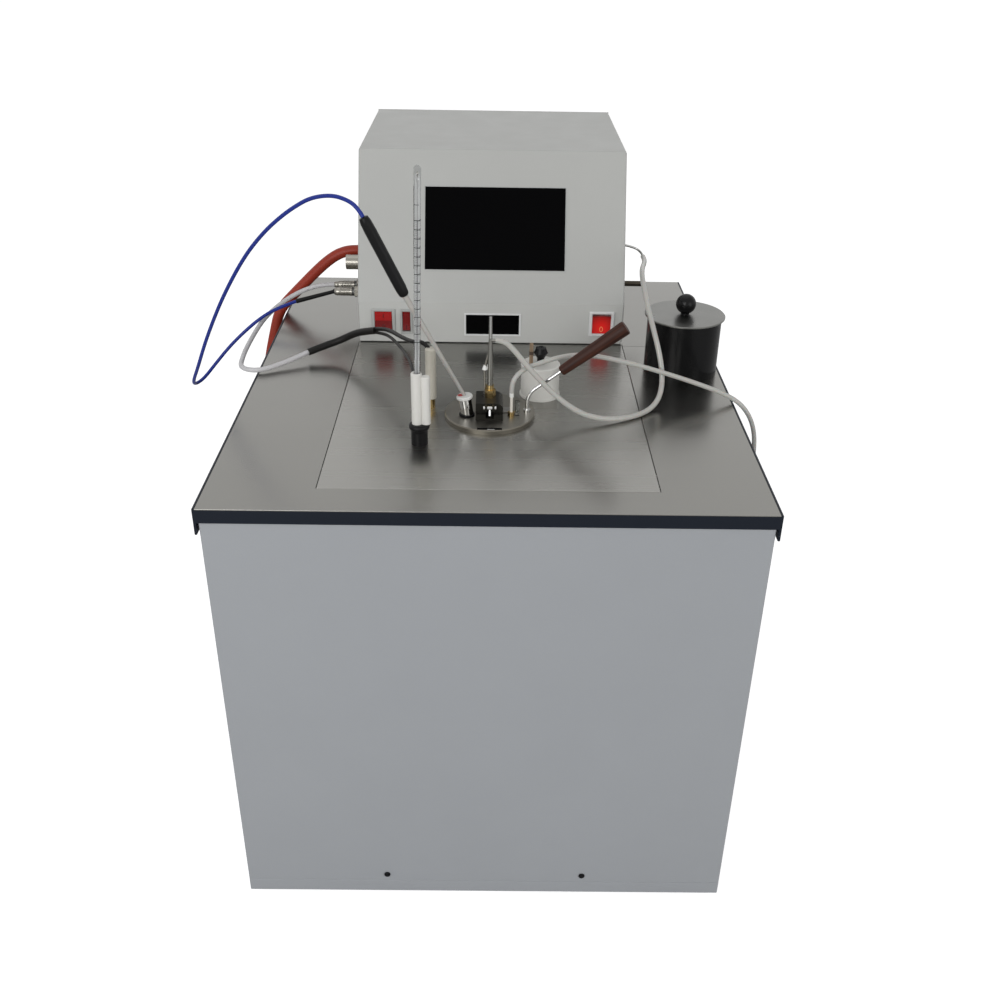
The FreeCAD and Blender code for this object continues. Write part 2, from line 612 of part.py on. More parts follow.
def access_panel():
    """The plate over the bath that carries the cup, sensors and filler."""
    owner = body("AccessPanel")
    edge = rectangle(-s.panel_half_width, FRONT + s.panel_front, s.panel_half_width, FRONT + s.panel_back)
    holes = [circle(0, CUP_Y, s.cup_bore_radius + s.cup_wall + s.cup_hole_gap),
             circle(s.bung_x, FRONT + s.bung_y, s.bung_spigot_radius + s.panel_gap),
             circle(s.tall_x, FRONT + s.tall_y, s.tall_stem_radius + s.panel_gap),
             circle(s.jar_x, FRONT + s.jar_y, s.jar_hole_radius)]
    pad(owner, "XY", [edge] + holes, UNDER, s.worktop_sheet)
    return owner


# Bath

def tank_loop(grow):
    return rectangle(-s.tank_half_width - grow, FRONT + s.tank_front - grow,
                     s.tank_half_width + grow, FRONT + s.tank_back + grow)


def bath_tank():
    owner = body("BathTank")
    bottom = TANK_FLOOR - s.tank_sheet
    pad(owner, "XY", [tank_loop(s.tank_sheet)], bottom, UNDER - bottom)
    pad(owner, "XY", [tank_loop(s.tank_flange)], UNDER - s.tank_sheet, s.tank_sheet)
    pocket(owner, "XY", [tank_loop(0)], UNDER, s.tank_depth)
    return cut(owner, coil_holes())


def coil_holes():
    """Passages for the two coil tails through the tank floor and the foam."""
    holes = []
    depth = s.foam + s.tank_sheet + s.foam_gap + s.coil_tail
    radius = s.coil_radius + s.coil_hole_gap
    for x in (-COIL_RISER_X, COIL_RISER_X):
        holes.append(cylinder(radius, depth, x, COIL_Y, TANK_FLOOR - depth + s.tank_sheet))
    return holes


def insulation():
    owner = body("Insulation")
    outer = s.tank_sheet + s.foam_gap + s.foam
    bottom = TANK_FLOOR - s.tank_sheet - s.foam_gap - s.foam
    top = UNDER - s.tank_sheet - s.foam_top_gap
    pad(owner, "XY", [tank_loop(outer)], bottom, top - bottom)
    pocket(owner, "XY", [tank_loop(s.tank_sheet + s.foam_gap)], top, top - bottom - s.foam)
    return cut(owner, coil_holes())


def swept(edges, radius):
    """A round tube along a wire, with its volume compared with section times length."""
    path = Part.Wire(edges)
    start = edges[0].valueAt(edges[0].FirstParameter)
    direction = edges[0].tangentAt(edges[0].FirstParameter)
    ring = Part.Wire([Part.makeCircle(radius, start, direction)])
    solid = path.makePipeShell([ring], True, False)
    expected = math.pi * radius * radius * path.Length
    if abs(solid.Volume / expected - 1) > 0.02:
        raise RuntimeError(f"a tube of radius {radius} has volume {solid.Volume} for {expected}")
    return solid


def feature(name, shape):
    obj = doc.addObject("Part::Feature", name)
    obj.Shape = shape
    return obj


def evaporator_coil():
    """A flat snake of pipe on the back wall of the bath, both tails down through the floor."""
    pitch = s.coil_spacing.value
    half = s.coil_half_width.value
    riser = COIL_RISER_X.value
    y = COIL_Y.value
    low = (TANK_FLOOR + s.coil_floor_gap).value
    foot = (TANK_FLOOR - s.tank_sheet - s.foam - s.foam_gap - s.coil_tail).value
    runs = int(s.coil_runs.value)
    bend = s.coil_riser_gap.value + pitch / 2
    edges = []

    def line(start, end):
        edges.append(Part.LineSegment(FreeCAD.Vector(*start), FreeCAD.Vector(*end)).toShape())

    def arc(start, middle, end):
        points = [FreeCAD.Vector(*point) for point in (start, middle, end)]
        edges.append(Part.Arc(*points).toShape())

    root = math.sqrt(0.5)
    bottom = low + bend
    line((-riser, y, foot), (-riser, y, low))
    arc((-riser, y, low), (-riser + bend * (1 - root), y, low + bend * root), (-riser + bend, y, bottom))
    height = bottom
    start_x = -riser + bend
    for run in range(runs):
        toward = 1 if run % 2 == 0 else -1
        end_x = toward * half
        line((start_x, y, height), (end_x, y, height))
        start_x = end_x
        if run < runs - 1:
            middle = (end_x + toward * pitch / 2, y, height + pitch / 2)
            arc((end_x, y, height), middle, (end_x, y, height + pitch))
            height += pitch
    arc((start_x, y, height), (start_x + bend * root, y, height - bend * (1 - root)),
        (start_x + bend, y, height - bend))
    line((start_x + bend, y, height - bend), (start_x + bend, y, foot))
    return feature("EvaporatorCoil", swept(edges, s.coil_radius.value))


# Cooling unit on the floor of the cabinet

def compressor():
    x = COMPRESSOR_X
    y = FRONT + s.compressor_y
    radius = s.compressor_radius
    height = s.compressor_height
    shoulder = s.compressor_shoulder
    middle = height / 2
    seam = s.compressor_seam
    profile = [(0, 0), (radius - shoulder, 0), (radius, shoulder), (radius, middle - seam / 2),
               (radius + seam, middle - seam / 2), (radius + seam, middle + seam / 2),
               (radius, middle + seam / 2), (radius, height - shoulder), (radius - shoulder, height),
               (0, height)]
    pot = turned("CompressorPot", profile)
    lift = s.compressor_base + s.compressor_foot
    place(pot, x, y, FLOOR + lift)
    plate = box(x - radius, y - radius + shoulder, FLOOR + s.compressor_foot,
                x + radius, y + radius - shoulder, FLOOR + lift)
    pieces = [pot, plate]
    for dx in (-radius + shoulder / 2, radius - shoulder / 2):
        for dy in (-radius + shoulder * 1.5, radius - shoulder * 1.5):
            pieces.append(cylinder(shoulder / 3, s.compressor_foot, x + dx, y + dy, FLOOR))
    for side in (-1, 1):
        pieces.append(cylinder(s.compressor_stub_radius, s.compressor_stub + shoulder,
                               x + side * s.compressor_stub_offset, y, FLOOR + lift + height - shoulder))
    return fused(pieces)


def condenser_corner():
    """Left, back and bottom of the condenser block."""
    return CONDENSER_X - s.condenser_width / 2, SHELL_REAR - s.condenser_back_gap, FLOOR + s.condenser_stand


def condenser():
    """Finned block with the fan's shroud in front of it, on two runners."""
    left, back, bottom = condenser_corner()
    width = s.condenser_width
    core = body("CondenserCore")
    front = back - s.condenser_depth
    pad(core, "XZ", [rectangle(left, bottom, left + width, bottom + width)], -back, s.condenser_depth)
    slot = rectangle(left + s.fin_margin, bottom + s.fin_border,
                     left + s.fin_margin + s.fin_slot, bottom + width - s.fin_border)
    slot_cut = pocket(core, "XZ", [slot], -front, s.condenser_depth)
    repeat(core, slot_cut, "X_Axis", s.fin_spacing * (s.fin_count - 1), s.fin_count)
    shroud = box(left, front - s.shroud_depth, bottom, left + width, front, bottom + width)
    centre = bottom + width / 2
    tunnel = cylinder(s.fan_radius + s.fan_tip_gap, s.shroud_depth + s.fan_seat, CONDENSER_X,
                      front - s.shroud_depth - s.fan_seat / 2, centre, "y")
    ring = cut(shroud, [tunnel])
    strut = box(left, front - s.fan_strut, centre - s.fan_strut / 2,
                left + width, front, centre + s.fan_strut / 2)
    motor = cylinder(s.fan_hub_radius, s.fan_strut, CONDENSER_X, front - s.fan_strut, centre, "y")
    axle = cylinder(s.fan_axle_radius, s.shroud_depth - s.fan_strut, CONDENSER_X,
                    front - s.shroud_depth, centre, "y")
    runners = []
    for x in (left, left + width - s.fin_margin):
        runners.append(box(x, front - s.shroud_depth, FLOOR, x + s.fin_margin, back, bottom))
    return fused([core, ring, strut, motor, axle] + runners)


BLADE_ROOT_SHARE = math.sqrt(0.75)


def condenser_fan():
    left, back, bottom = condenser_corner()
    owner = body("CondenserFan")
    bore = s.fan_axle_radius + s.fan_axle_gap
    pad(owner, "XY", [circle(0, 0, s.fan_hub_radius), circle(0, 0, bore)], 0, s.fan_hub_depth)
    half = s.fan_chord / 2
    rise = s.fan_blade_rise / 2
    middle = s.fan_hub_depth / 2
    section = [(-half, middle - rise), (-half + s.fan_blade, middle - rise), (half, middle + rise),
               (half - s.fan_blade, middle + rise)]
    root = s.fan_hub_radius * BLADE_ROOT_SHARE
    blade = pad(owner, "YZ", [section], root, s.fan_radius - root)
    around(owner, blade, s.fan_count)
    y = back - s.condenser_depth - s.fan_strut - s.fan_seat
    return place(owner, CONDENSER_X, y, bottom + s.condenser_width / 2, (1, 0, 0), 90)


# Control box

def slope_place(obj):
    """Puts a flat piece on the sloping front: its Y runs up the slope and its Z points out."""
    return place(obj, 0, BOX_FRONT, BOX_CREASE, (1, 0, 0), 90 - BOX_LEAN)


def box_profile(inset, past):
    """Side view of the box cover, open at the back and bottom where it runs past."""
    lean = math.radians(BOX_LEAN)
    crease_y = BOX_FRONT + inset
    crease_z = BOX_CREASE + inset * math.tan(lean / 2)
    top_z = BOX_TOP - inset
    run = (top_z - crease_z) * math.tan(lean)
    return [(crease_y, BOX_BOTTOM - past), (crease_y, crease_z), (crease_y + run, top_z),
            (BOX_REAR - s.box_sheet + past, top_z), (BOX_REAR - s.box_sheet + past, BOX_BOTTOM - past)]


def box_shell():
    """Folded cover: front strip, sloping panel, top and both sides."""
    owner = body("BoxCover")
    pad(owner, "YZ", [box_profile(0 * s.box_sheet, 0 * s.box_sheet)], -s.box_half_width, s.box_half_width * 2)
    rear = (BOX_REAR - s.box_sheet).value
    bottom = BOX_BOTTOM.value

    def outer_edge(edge):
        middle = edge.CenterOfMass
        low = edge.BoundBox.ZMax < bottom + 0.01
        back = edge.BoundBox.YMin > rear - 0.01
        flat_crease = abs(middle.x) < 0.01 and middle.z < BOX_CREASE.value + 1
        return not (low or back or flat_crease)

    rounded(owner, outer_edge, s.box_edge)
    inner = body("BoxInside")
    half = s.box_half_width - s.box_sheet
    pad(inner, "YZ", [box_profile(s.box_sheet, s.box_edge)], -half, half * 2)
    tools = [inner]
    screen = body("ScreenHole")
    pad(screen, "XY", [screen_loop(s.screen_fit)], -s.screen_module, s.screen_module * 2)
    tools.append(slope_place(screen))
    tools.append(front_hole(s.display_x, s.display_z, s.display_width / 2 + s.display_fit,
                            s.display_height / 2 + s.display_fit))
    for x, width in switches():
        tools.append(front_hole(x, s.switch_z, width / 2 + s.switch_wall + s.switch_fit,
                                s.switch_opening / 2 + s.switch_wall + s.switch_fit))
    for radius, y, z in left_bores():
        tools.append(cylinder(radius, s.foam, -s.box_half_width - s.box_sheet, y, z, "x"))
    tools.append(cylinder(s.nipple_radius, s.foam, s.box_half_width - s.foam + s.box_sheet,
                          s.nipple_y, s.nipple_z, "x"))
    tools.append(cylinder(s.gas_pipe_radius, s.foam, s.box_half_width - s.foam + s.box_sheet,
                          s.gas_port_y, s.gas_port_z, "x"))
    return cut(owner, tools)


def front_hole(x, height, half_width, half_height):
    middle = BOX_BOTTOM + height
    return box(x - half_width, BOX_FRONT - s.box_edge, middle - half_height,
               x + half_width, BOX_FRONT + s.box_edge, middle + half_height)


def left_bores():
    """Radius, depth and height of each hole in the left wall."""
    tail = s.socket_tail_radius
    return [(tail, s.socket_front_y, s.socket_z), (tail, s.socket_back_y, s.socket_z),
            (tail, s.third_socket_y, s.third_socket_z), (tail, s.hose_port_y, s.hose_port_z)]


def switches():
    """Middle and opening width of each switch."""
    left = s.left_switch_inset - s.box_half_width
    return [(s.box_half_width - s.main_switch_inset, s.main_switch_width), (left, s.left_switch_width),
            (left + s.small_switch_spacing, s.small_switch_width)]


def box_chassis():
    """Floor and back wall of the control box, with its feet."""
    half = s.box_half_width - s.box_sheet - s.box_fit
    wall_y = BOX_REAR - s.box_sheet
    floor_plate = box(-half, BOX_FRONT + s.box_sheet + s.box_fit, BOX_BOTTOM,
                      half, wall_y, BOX_BOTTOM + s.box_sheet)
    owner = body("BoxBack")
    pad(owner, "XZ", [rectangle(-s.box_half_width, BOX_BOTTOM, s.box_half_width, BOX_TOP)],
        -BOX_REAR, s.box_sheet)
    low = BOX_BOTTOM + s.box_vent_bottom
    slot = rectangle(-s.box_vent_width / 2, low, s.box_vent_width / 2, low + s.box_vent_slot)
    slot_cut = pocket(owner, "XZ", [slot], -wall_y, s.box_sheet)
    repeat(owner, slot_cut, "Z_Axis", s.box_vent_spacing * (s.box_vent_count - 1), s.box_vent_count)
    pieces = [floor_plate, owner]
    for x in (-half + s.box_foot_inset, half - s.box_foot_inset):
        for y in (BOX_FRONT + s.box_foot_inset, REAR - s.box_foot_inset):
            pieces.append(cylinder(s.box_foot_radius, s.box_gap, x, y, TOP))
    chassis = fused(pieces)
    bore = cylinder(s.stirrer_collar_radius + s.stirrer_passage_gap, s.foam, s.stirrer_x, STIRRER_Y, TOP)
    return cut(chassis, [bore])


def screen_loop(grow):
    half = s.screen_width / 2 + grow
    return rectangle(s.screen_x - half, s.screen_rise - grow, s.screen_x + half,
                     s.screen_rise + s.screen_height + grow)


def touch_screen():
    owner = body("TouchScreen")
    pad(owner, "XY", [screen_loop(0)], -s.box_sheet, s.box_sheet + s.screen_proud)
    pad(owner, "XY", [screen_loop(s.screen_border)], -s.box_sheet - s.screen_module, s.screen_module)
    return slope_place(owner)


def display_window():
    """Narrow window with a raised rim on the front strip."""
    middle = BOX_BOTTOM + s.display_z
    x = s.display_x
    half_w = s.display_width / 2
    half_h = s.display_height / 2
    rim = s.display_rim
    front = BOX_FRONT - s.display_proud
    back = BOX_FRONT + s.box_sheet
    frame = box(x - half_w - rim, front, middle - half_h - rim, x + half_w + rim, BOX_FRONT,
                middle + half_h + rim)
    glass = box(x - half_w, front, middle - half_h, x + half_w, back, middle + half_h)
    module = box(x - half_w - rim, back, middle - half_h, x + half_w + rim, back + s.display_module,
                 middle + half_h)
    recess = box(x - half_w, front, middle - half_h, x + half_w, front + s.display_recess,
                 middle + half_h)
    return cut(fused([frame, glass, module]), [recess])


def switch_case(x, width, rim_side):
    """Rim on the panel and case behind it, with the rocker's cavity and pin bores."""
    middle = BOX_BOTTOM + s.switch_z
    half_w = width / 2
    half_h = s.switch_opening / 2
    front = BOX_FRONT - s.switch_rim_proud
    rim = box(x - half_w - rim_side, front, middle - half_h - s.switch_rim_end,
              x + half_w + rim_side, BOX_FRONT, middle + half_h + s.switch_rim_end)
    wall = s.switch_wall
    case = box(x - half_w - wall, front, middle - half_h - wall,
               x + half_w + wall, BOX_FRONT + s.switch_case, middle + half_h + wall)
    cavity = box(x - half_w, front, middle - half_h,
                 x + half_w, BOX_FRONT + s.switch_cavity, middle + half_h)
    reach = s.rocker_pin_length + s.rocker_side_gap
    bore = cylinder(s.rocker_pin_radius + s.rocker_pin_gap, width + reach * 2, x - half_w - reach,
                    BOX_FRONT + s.rocker_pivot, middle, "x")
    return cut(fused([rim, case]), [cavity, bore])


def switch_bodies():
    cases = []
    for (x, width), rim in zip(switches(), (s.switch_rim_side, s.switch_rim_side, s.small_rim_side)):
        cases.append(switch_case(x, width, rim))
    return group(cases)


def rocker(name, x, width, pressed):
    """Roof-shaped rocker on two pins, drawn about its pivot and leant to its rest."""
    owner = body(name)
    half = width / 2 - s.rocker_side_gap
    end = s.switch_opening / 2 - s.rocker_end_gap
    front = s.rocker_pivot + s.rocker_front
    slope = math.tan(math.radians(s.rocker_tilt.value))
    shoulder = front - end * slope + s.rocker_waist
    section = [(-front + s.rocker_waist, 0), (-shoulder, end), (s.rocker_back, end - s.rocker_back),
               (s.rocker_back, -end + s.rocker_back), (-shoulder, -end)]
    pad(owner, "YZ", [section], -half, half * 2)
    reach = half + s.rocker_side_gap + s.rocker_pin_length
    pad(owner, "YZ", [circle(0, 0, s.rocker_pin_radius)], -reach, reach * 2)
    return place(owner, x, BOX_FRONT + s.rocker_pivot, BOX_BOTTOM + s.switch_z, (1, 0, 0),
                 s.rocker_tilt * pressed)


def control_board():
    half = s.board_width / 2
    back = BOX_REAR - s.board_back_gap
    front = back - s.board_depth
    low = BOX_BOTTOM + s.box_sheet
    deck = low + s.board_standoff
    top = deck + s.board_thickness
    margin = s.board_margin
    pieces = [box(-half, front, deck, half, back, top)]
    for x in (-half + margin, half - margin):
        for y in (front + margin, back - margin):
            pieces.append(cylinder(s.board_standoff_radius, s.board_standoff, x, y, low))
    chip = s.board_chip
    pieces.append(box(-half + margin, front + margin, top, -half + margin + chip, front + margin + chip,
                      top + s.board_chip_height))
    pieces.append(box(-s.board_block_width / 2, back - margin - s.board_block_depth, top,
                      s.board_block_width / 2, back - margin, top + s.board_block_height))
    block = s.board_transformer
    pieces.append(box(half - margin - block, front + margin, top, half - margin, front + margin + block,
                      top + s.board_transformer_height))
    return fused(pieces)


# Bath stirrer

def stirrer_bush():
    """Bearing bush in the worktop, under the control box."""
    x = s.stirrer_x
    flange = cylinder(s.bush_flange_radius, s.bush_flange, x, STIRRER_Y, TOP)
    stem = cylinder(s.bush_radius, s.bush_depth, x, STIRRER_Y, TOP - s.bush_depth)
    bore = cylinder(s.stirrer_shaft_radius + s.stirrer_gap, s.bush_depth + s.bush_flange, x, STIRRER_Y,
                    TOP - s.bush_depth)
    return cut(fused([flange, stem]), [bore])


def motor_bottom():
    return BOX_BOTTOM + s.box_sheet + s.motor_standoff


def stirrer_motor():
    """Motor on three legs over the shaft, inside the control box."""
    x = s.stirrer_x
    case = cylinder(s.motor_radius, s.motor_height, x, STIRRER_Y, motor_bottom())
    bore = cylinder(s.stirrer_shaft_radius + s.stirrer_gap, s.motor_bore, x, STIRRER_Y, motor_bottom())
    pieces = [cut(case, [bore])]
    legs = int(s.motor_leg_count.value)
    for leg in range(legs):
        angle = math.pi * (2 * leg / legs - 1 / 2)
        dx = s.motor_leg_circle * math.cos(angle)
        dy = s.motor_leg_circle * math.sin(angle)
        pieces.append(cylinder(s.motor_leg_radius, s.motor_standoff, x + dx, STIRRER_Y + dy,
                               BOX_BOTTOM + s.box_sheet))
    return fused(pieces)


def bath_stirrer():
    owner = body("BathStirrer")
    length = s.tank_depth + s.worktop_sheet - s.stirrer_floor_gap
    collar = s.bush_flange + s.fan_seat
    shaft_top = motor_bottom() - TOP + s.motor_bore - s.motor_end_gap
    pad(owner, "XY", [circle(0, 0, s.stirrer_shaft_radius)], -length, length + shaft_top)
    pad(owner, "XY", [circle(0, 0, s.stirrer_collar_radius)], collar, s.stirrer_collar_height)
    pad(owner, "XY", [circle(0, 0, s.stirrer_hub_radius)], -length, s.stirrer_hub_height)
    half = s.stirrer_blade / 2
    section = rectangle(-half, -length, half, -length + s.stirrer_hub_height)
    blade = pad(owner, "YZ", [section], 0, s.stirrer_blade_reach)
    around(owner, blade, s.stirrer_blade_count)
    return place(owner, s.stirrer_x, STIRRER_Y, TOP)


# Connectors on the walls

def cable_socket(y, z):
    """Ringed socket on the left wall of the box, with its nut."""
    wall = -s.box_half_width
    nut = hexagon(s.socket_nut_radius, s.socket_nut_length, wall - s.socket_nut_length, y, z, "x")
    tail = cylinder(s.socket_tail_radius, s.socket_tail, wall, y, z, "x")
    collar = cylinder(s.socket_collar_radius, s.socket_collar, wall - s.socket_nut_length - s.socket_collar,
                      y, z, "x")
    return fused([nut, tail, collar])


def left_sockets():
    """Two cable sockets, the empty third socket and the hose's nipple."""
    wall = -s.box_half_width
    pieces = [cable_socket(s.socket_front_y, s.socket_z), cable_socket(s.socket_back_y, s.socket_z)]
    length = s.third_socket_length
    barrel = cylinder(s.third_socket_radius, length, wall - length, s.third_socket_y,
                      s.third_socket_z, "x")
    tail = cylinder(s.socket_tail_radius, s.socket_tail, wall, s.third_socket_y, s.third_socket_z, "x")
    bore = cylinder(s.third_socket_bore_radius, s.third_socket_bore, wall - length,
                    s.third_socket_y, s.third_socket_z, "x")
    pieces.append(cut(fused([barrel, tail]), [bore]))
    ring = cylinder(s.hose_port_radius, s.hose_port_length, wall - s.hose_port_length,
                    s.hose_port_y, s.hose_port_z, "x")
    stem = cylinder(s.socket_tail_radius, s.socket_tail, wall, s.hose_port_y, s.hose_port_z, "x")
    pieces.append(fused([ring, stem]))
    return group(pieces)


PIPE_SHARES = [(0, 0, 0), (0.44, 0, 0.25), (0.8, 0.05, 0.58), (0.98, 0.42, 0.9), (1, 1, 1)]


def gas_pipe_points():
    """Bent pipe out of the right wall: to the right, then forward, sinking a little all the way."""
    points = []
    for out, ahead, down in PIPE_SHARES:
        points.append(((s.box_half_width + s.pipe_reach * out).value,
                       (s.gas_port_y - s.pipe_run * ahead).value,
                       (s.gas_port_z - s.pipe_drop * down).value))
    return points


def right_sockets():
    """Straight nipple with its nut, the bent gas pipe and the cable port on the cabinet."""
    wall = s.box_half_width
    nut = hexagon(s.nipple_nut_radius, s.nipple_nut_length, wall, s.nipple_y, s.nipple_z, "x")
    rod = cylinder(s.nipple_radius, s.nipple_length + s.socket_tail, wall - s.socket_tail,
                   s.nipple_y, s.nipple_z, "x")
    collar = cylinder(s.gas_port_radius, s.gas_port_length, wall, s.gas_port_y, s.gas_port_z, "x")
    inner = cylinder(s.gas_pipe_radius, s.socket_tail, wall - s.socket_tail, s.gas_port_y, s.gas_port_z, "x")
    pipe = feature("GasPipe", swept(rounded_path(gas_pipe_points(), "gas pipe"), s.gas_pipe_radius.value))
    flange = cylinder(s.cable_port_radius, s.side_port_length, SHELL_X, s.cable_port_y,
                      s.cable_port_z, "x")
    spigot = cylinder(s.igniter_cable_radius, s.socket_tail, SHELL_X - s.socket_tail, s.cable_port_y,
                      s.cable_port_z, "x")
    return group([fused([nut, rod]), fused([collar, inner, pipe]), fused([flange, spigot])])


# Test cup, lid and what stands on the lid

def test_cup():
    outer = s.cup_bore_radius + s.cup_wall
    top = s.cup_depth
    profile = [(0, 0), (outer, 0), (outer, top - s.cup_flange), (s.cup_flange_radius, top - s.cup_flange),
               (s.cup_flange_radius, top), (s.cup_bore_radius, top), (s.cup_bore_radius, s.cup_floor),
               (0, s.cup_floor)]
    return place(turned("TestCup", profile), 0, CUP_Y, TOP + s.cup_flange - s.cup_depth)


def block_front():
    return CUP_Y - s.block_front_offset


def orifice_y():
    return block_front() + s.notch_depth + s.channel_offset + s.channel_width / 2


def cup_lid():
    seat = s.cup_flange_radius + s.cup_seat_gap
    profile = [(0, s.cup_flange), (seat, s.cup_flange), (seat, 0), (s.lid_radius, 0),
               (s.lid_radius, s.lid_thickness - s.lid_edge), (s.lid_radius - s.lid_edge, s.lid_thickness),
               (0, s.lid_thickness)]
    disc = place(turned("CupLid", profile), 0, CUP_Y, TOP)
    slot_y = CUP_Y - s.lid_slot_offset
    slot = box(-s.lid_slot_length / 2, slot_y - s.lid_slot_width / 2, LID_TOP - s.lid_slot_depth,
               s.lid_slot_length / 2, slot_y + s.lid_slot_width / 2, LID_TOP)
    orifice = cylinder(s.orifice_radius, s.lid_thickness, 0, orifice_y(), TOP)
    probe_port = cylinder(s.port_radius, s.lid_thickness, s.probe_x + s.port_radius / 2,
                          CUP_Y - s.probe_offset, TOP)
    igniter_port = cylinder(s.igniter_radius, s.lid_thickness, s.igniter_x, CUP_Y - s.igniter_offset, TOP)
    return cut(disc, [slot, orifice, probe_port, igniter_port])


def shutter_housing():
    """Dark block on the lid, with the slide's channel, a front step, a notch and the jet's two ears."""
    front = block_front()
    block = box(s.block_left, front, LID_TOP, s.block_right, front + s.block_depth, LID_TOP + s.block_height)
    step = box(s.block_left, front - s.step_depth, LID_TOP, s.block_right, front, LID_TOP + s.step_height)
    corner = s.block_round
    right = s.block_right
    shoulder = box(right - corner, front, LID_TOP + s.block_height - corner, right,
                   front + s.block_depth, LID_TOP + s.block_height)
    round_bar = cylinder(corner, s.block_depth, right - corner, front,
                         LID_TOP + s.block_height - corner, "y")
    corner_cut = cut(shoulder, [round_bar])
    channel_y = orifice_y() - s.channel_width / 2
    channel = box(s.block_left, channel_y, LID_TOP, right, channel_y + s.channel_width,
                  LID_TOP + s.channel_height)
    notch = box(-s.notch_width / 2, front - s.step_depth, LID_TOP + s.channel_height, s.notch_width / 2,
                front + s.notch_depth, LID_TOP + s.block_height - s.channel_height)
    pivot_y = front - s.jet_pivot_offset
    pivot_z = LID_TOP + s.jet_pivot_height
    ears = []
    for side in (-1, 1):
        inner = s.jet_hub_length / 2 + s.jet_ear_gap
        x0 = inner if side > 0 else -inner - s.jet_ear
        ears.append(box(x0, pivot_y - s.jet_ear_reach, pivot_z - s.jet_ear_reach, x0 + s.jet_ear, front,
                        pivot_z + s.jet_ear_reach))
    pin_bore = cylinder(s.jet_axle_radius + s.jet_gap, s.jet_axle_length, -s.jet_axle_length / 2,
                        pivot_y, pivot_z, "x")
    orifice = cylinder(s.orifice_radius, s.channel_height * 3, 0, orifice_y(), LID_TOP)
    return cut(fused([block, step] + ears), [corner_cut, channel, notch, pin_bore, orifice])


def shutter_slide():
    """Thin plate in the channel with its own opening and an upturned tab."""
    gap = s.slide_gap
    y0 = orifice_y() - s.channel_width / 2 + gap
    y1 = orifice_y() + s.channel_width / 2 - gap
    z0 = LID_TOP + gap
    z1 = LID_TOP + s.channel_height - gap
    left = s.block_left
    plate = box(left, y0, z0, left + s.slide_length, y1, z1)
    tab = box(left + s.slide_length - s.slide_tab_thickness, y0, z0, left + s.slide_length, y1,
              z1 + s.slide_tab)
    hole = cylinder(s.orifice_radius, s.channel_height, -s.slide_travel, orifice_y(), LID_TOP)
    return cut(fused([plate, tab]), [hole])


def gas_jet():
    """Cross-axle with a nozzle that dips towards the lid as the slide opens."""
    owner = body("GasJet")
    half = s.jet_axle_length / 2
    knob = s.jet_hub_length / 2 + s.jet_ear_gap * 2 + s.jet_ear
    pad(owner, "YZ", [circle(0, 0, s.jet_axle_radius)], -half, s.jet_axle_length)
    pad(owner, "YZ", [circle(0, 0, s.jet_hub_radius)], -s.jet_hub_length / 2, s.jet_hub_length)
    pad(owner, "YZ", [circle(0, 0, s.jet_knob_radius)], knob, s.jet_knob)
    pad(owner, "YZ", [circle(0, 0, s.jet_knob_radius)], -knob - s.jet_knob, s.jet_knob)
    pad(owner, "XY", [circle(0, 0, s.jet_nozzle_radius)], -s.jet_nozzle_length, s.jet_nozzle_length)
    pivot_y = block_front() - s.jet_pivot_offset
    return place(owner, 0, pivot_y, LID_TOP + s.jet_pivot_height, (1, 0, 0), -s.jet_tilt)


def riser_base():
    return LID_TOP + s.block_height


def riser_nut():
    z = riser_base()
    nut = hexagon(s.nut_radius, s.nut_height, 0, CUP_Y, z)
    neck = cylinder(s.nut_neck_radius, s.nut_neck, 0, CUP_Y, z + s.nut_height)
    bore = cylinder(s.riser_radius, s.nut_height + s.nut_neck, 0, CUP_Y, z)
    pilot_bore = cylinder(s.pilot_radius, s.nut_height, -s.pilot_offset, CUP_Y, z)
    return cut(fused([nut, neck]), [bore, pilot_bore])


def gas_riser():
    """Upright gas pipe with a side elbow near its top and a thin pilot pipe beside it."""
    base = riser_base()
    shoulder = s.riser_shoulder
    stem = cylinder(s.riser_radius, shoulder, 0, CUP_Y, base)
    upper = s.riser_elbow_z - base - shoulder
    taper = cone(s.riser_radius, s.riser_top_radius, upper, 0, CUP_Y, base + shoulder)
    tip = cone(s.riser_top_radius, s.riser_tip_radius, s.riser_height - s.riser_elbow_z, 0, CUP_Y,
               s.riser_elbow_z)
    elbow = cylinder(s.riser_elbow_radius, s.riser_elbow, 0, CUP_Y, s.riser_elbow_z, "x")
    pilot_x = -s.pilot_offset
    pilot = cylinder(s.pilot_radius, s.pilot_cone_z - base, pilot_x, CUP_Y, base)
    skirt = cone(s.pilot_cone_radius, s.pilot_radius, s.pilot_cone, pilot_x, CUP_Y, s.pilot_cone_z)
    link_start = (pilot_x, CUP_Y, s.pilot_cone_z + s.pilot_cone / 2)
    link_end = (0 * s.pilot_offset, CUP_Y, s.pilot_top)
    link = doc.addObject("Part::Cylinder", "PilotLink")
    bind(link, "Radius", s.pilot_radius)
    bind(link, "Height", distance(link_start, link_end))
    aim(link, link_start, link_end)
    return fused([stem, taper, tip, elbow, pilot, skirt, link])


def probe_foot():
    """Middle of the probe socket's foot on the lid."""
    return (s.probe_x, CUP_Y - s.probe_offset, LID_TOP)


def probe_cap_top():
    """Middle of the top of the leant probe cap."""
    height = s.probe_socket_height + s.probe_cap
    lean = math.radians(s.probe_tilt.value)
    x, y, z = probe_foot()
    return (x - height * math.sin(lean), y, z + height * math.cos(lean))


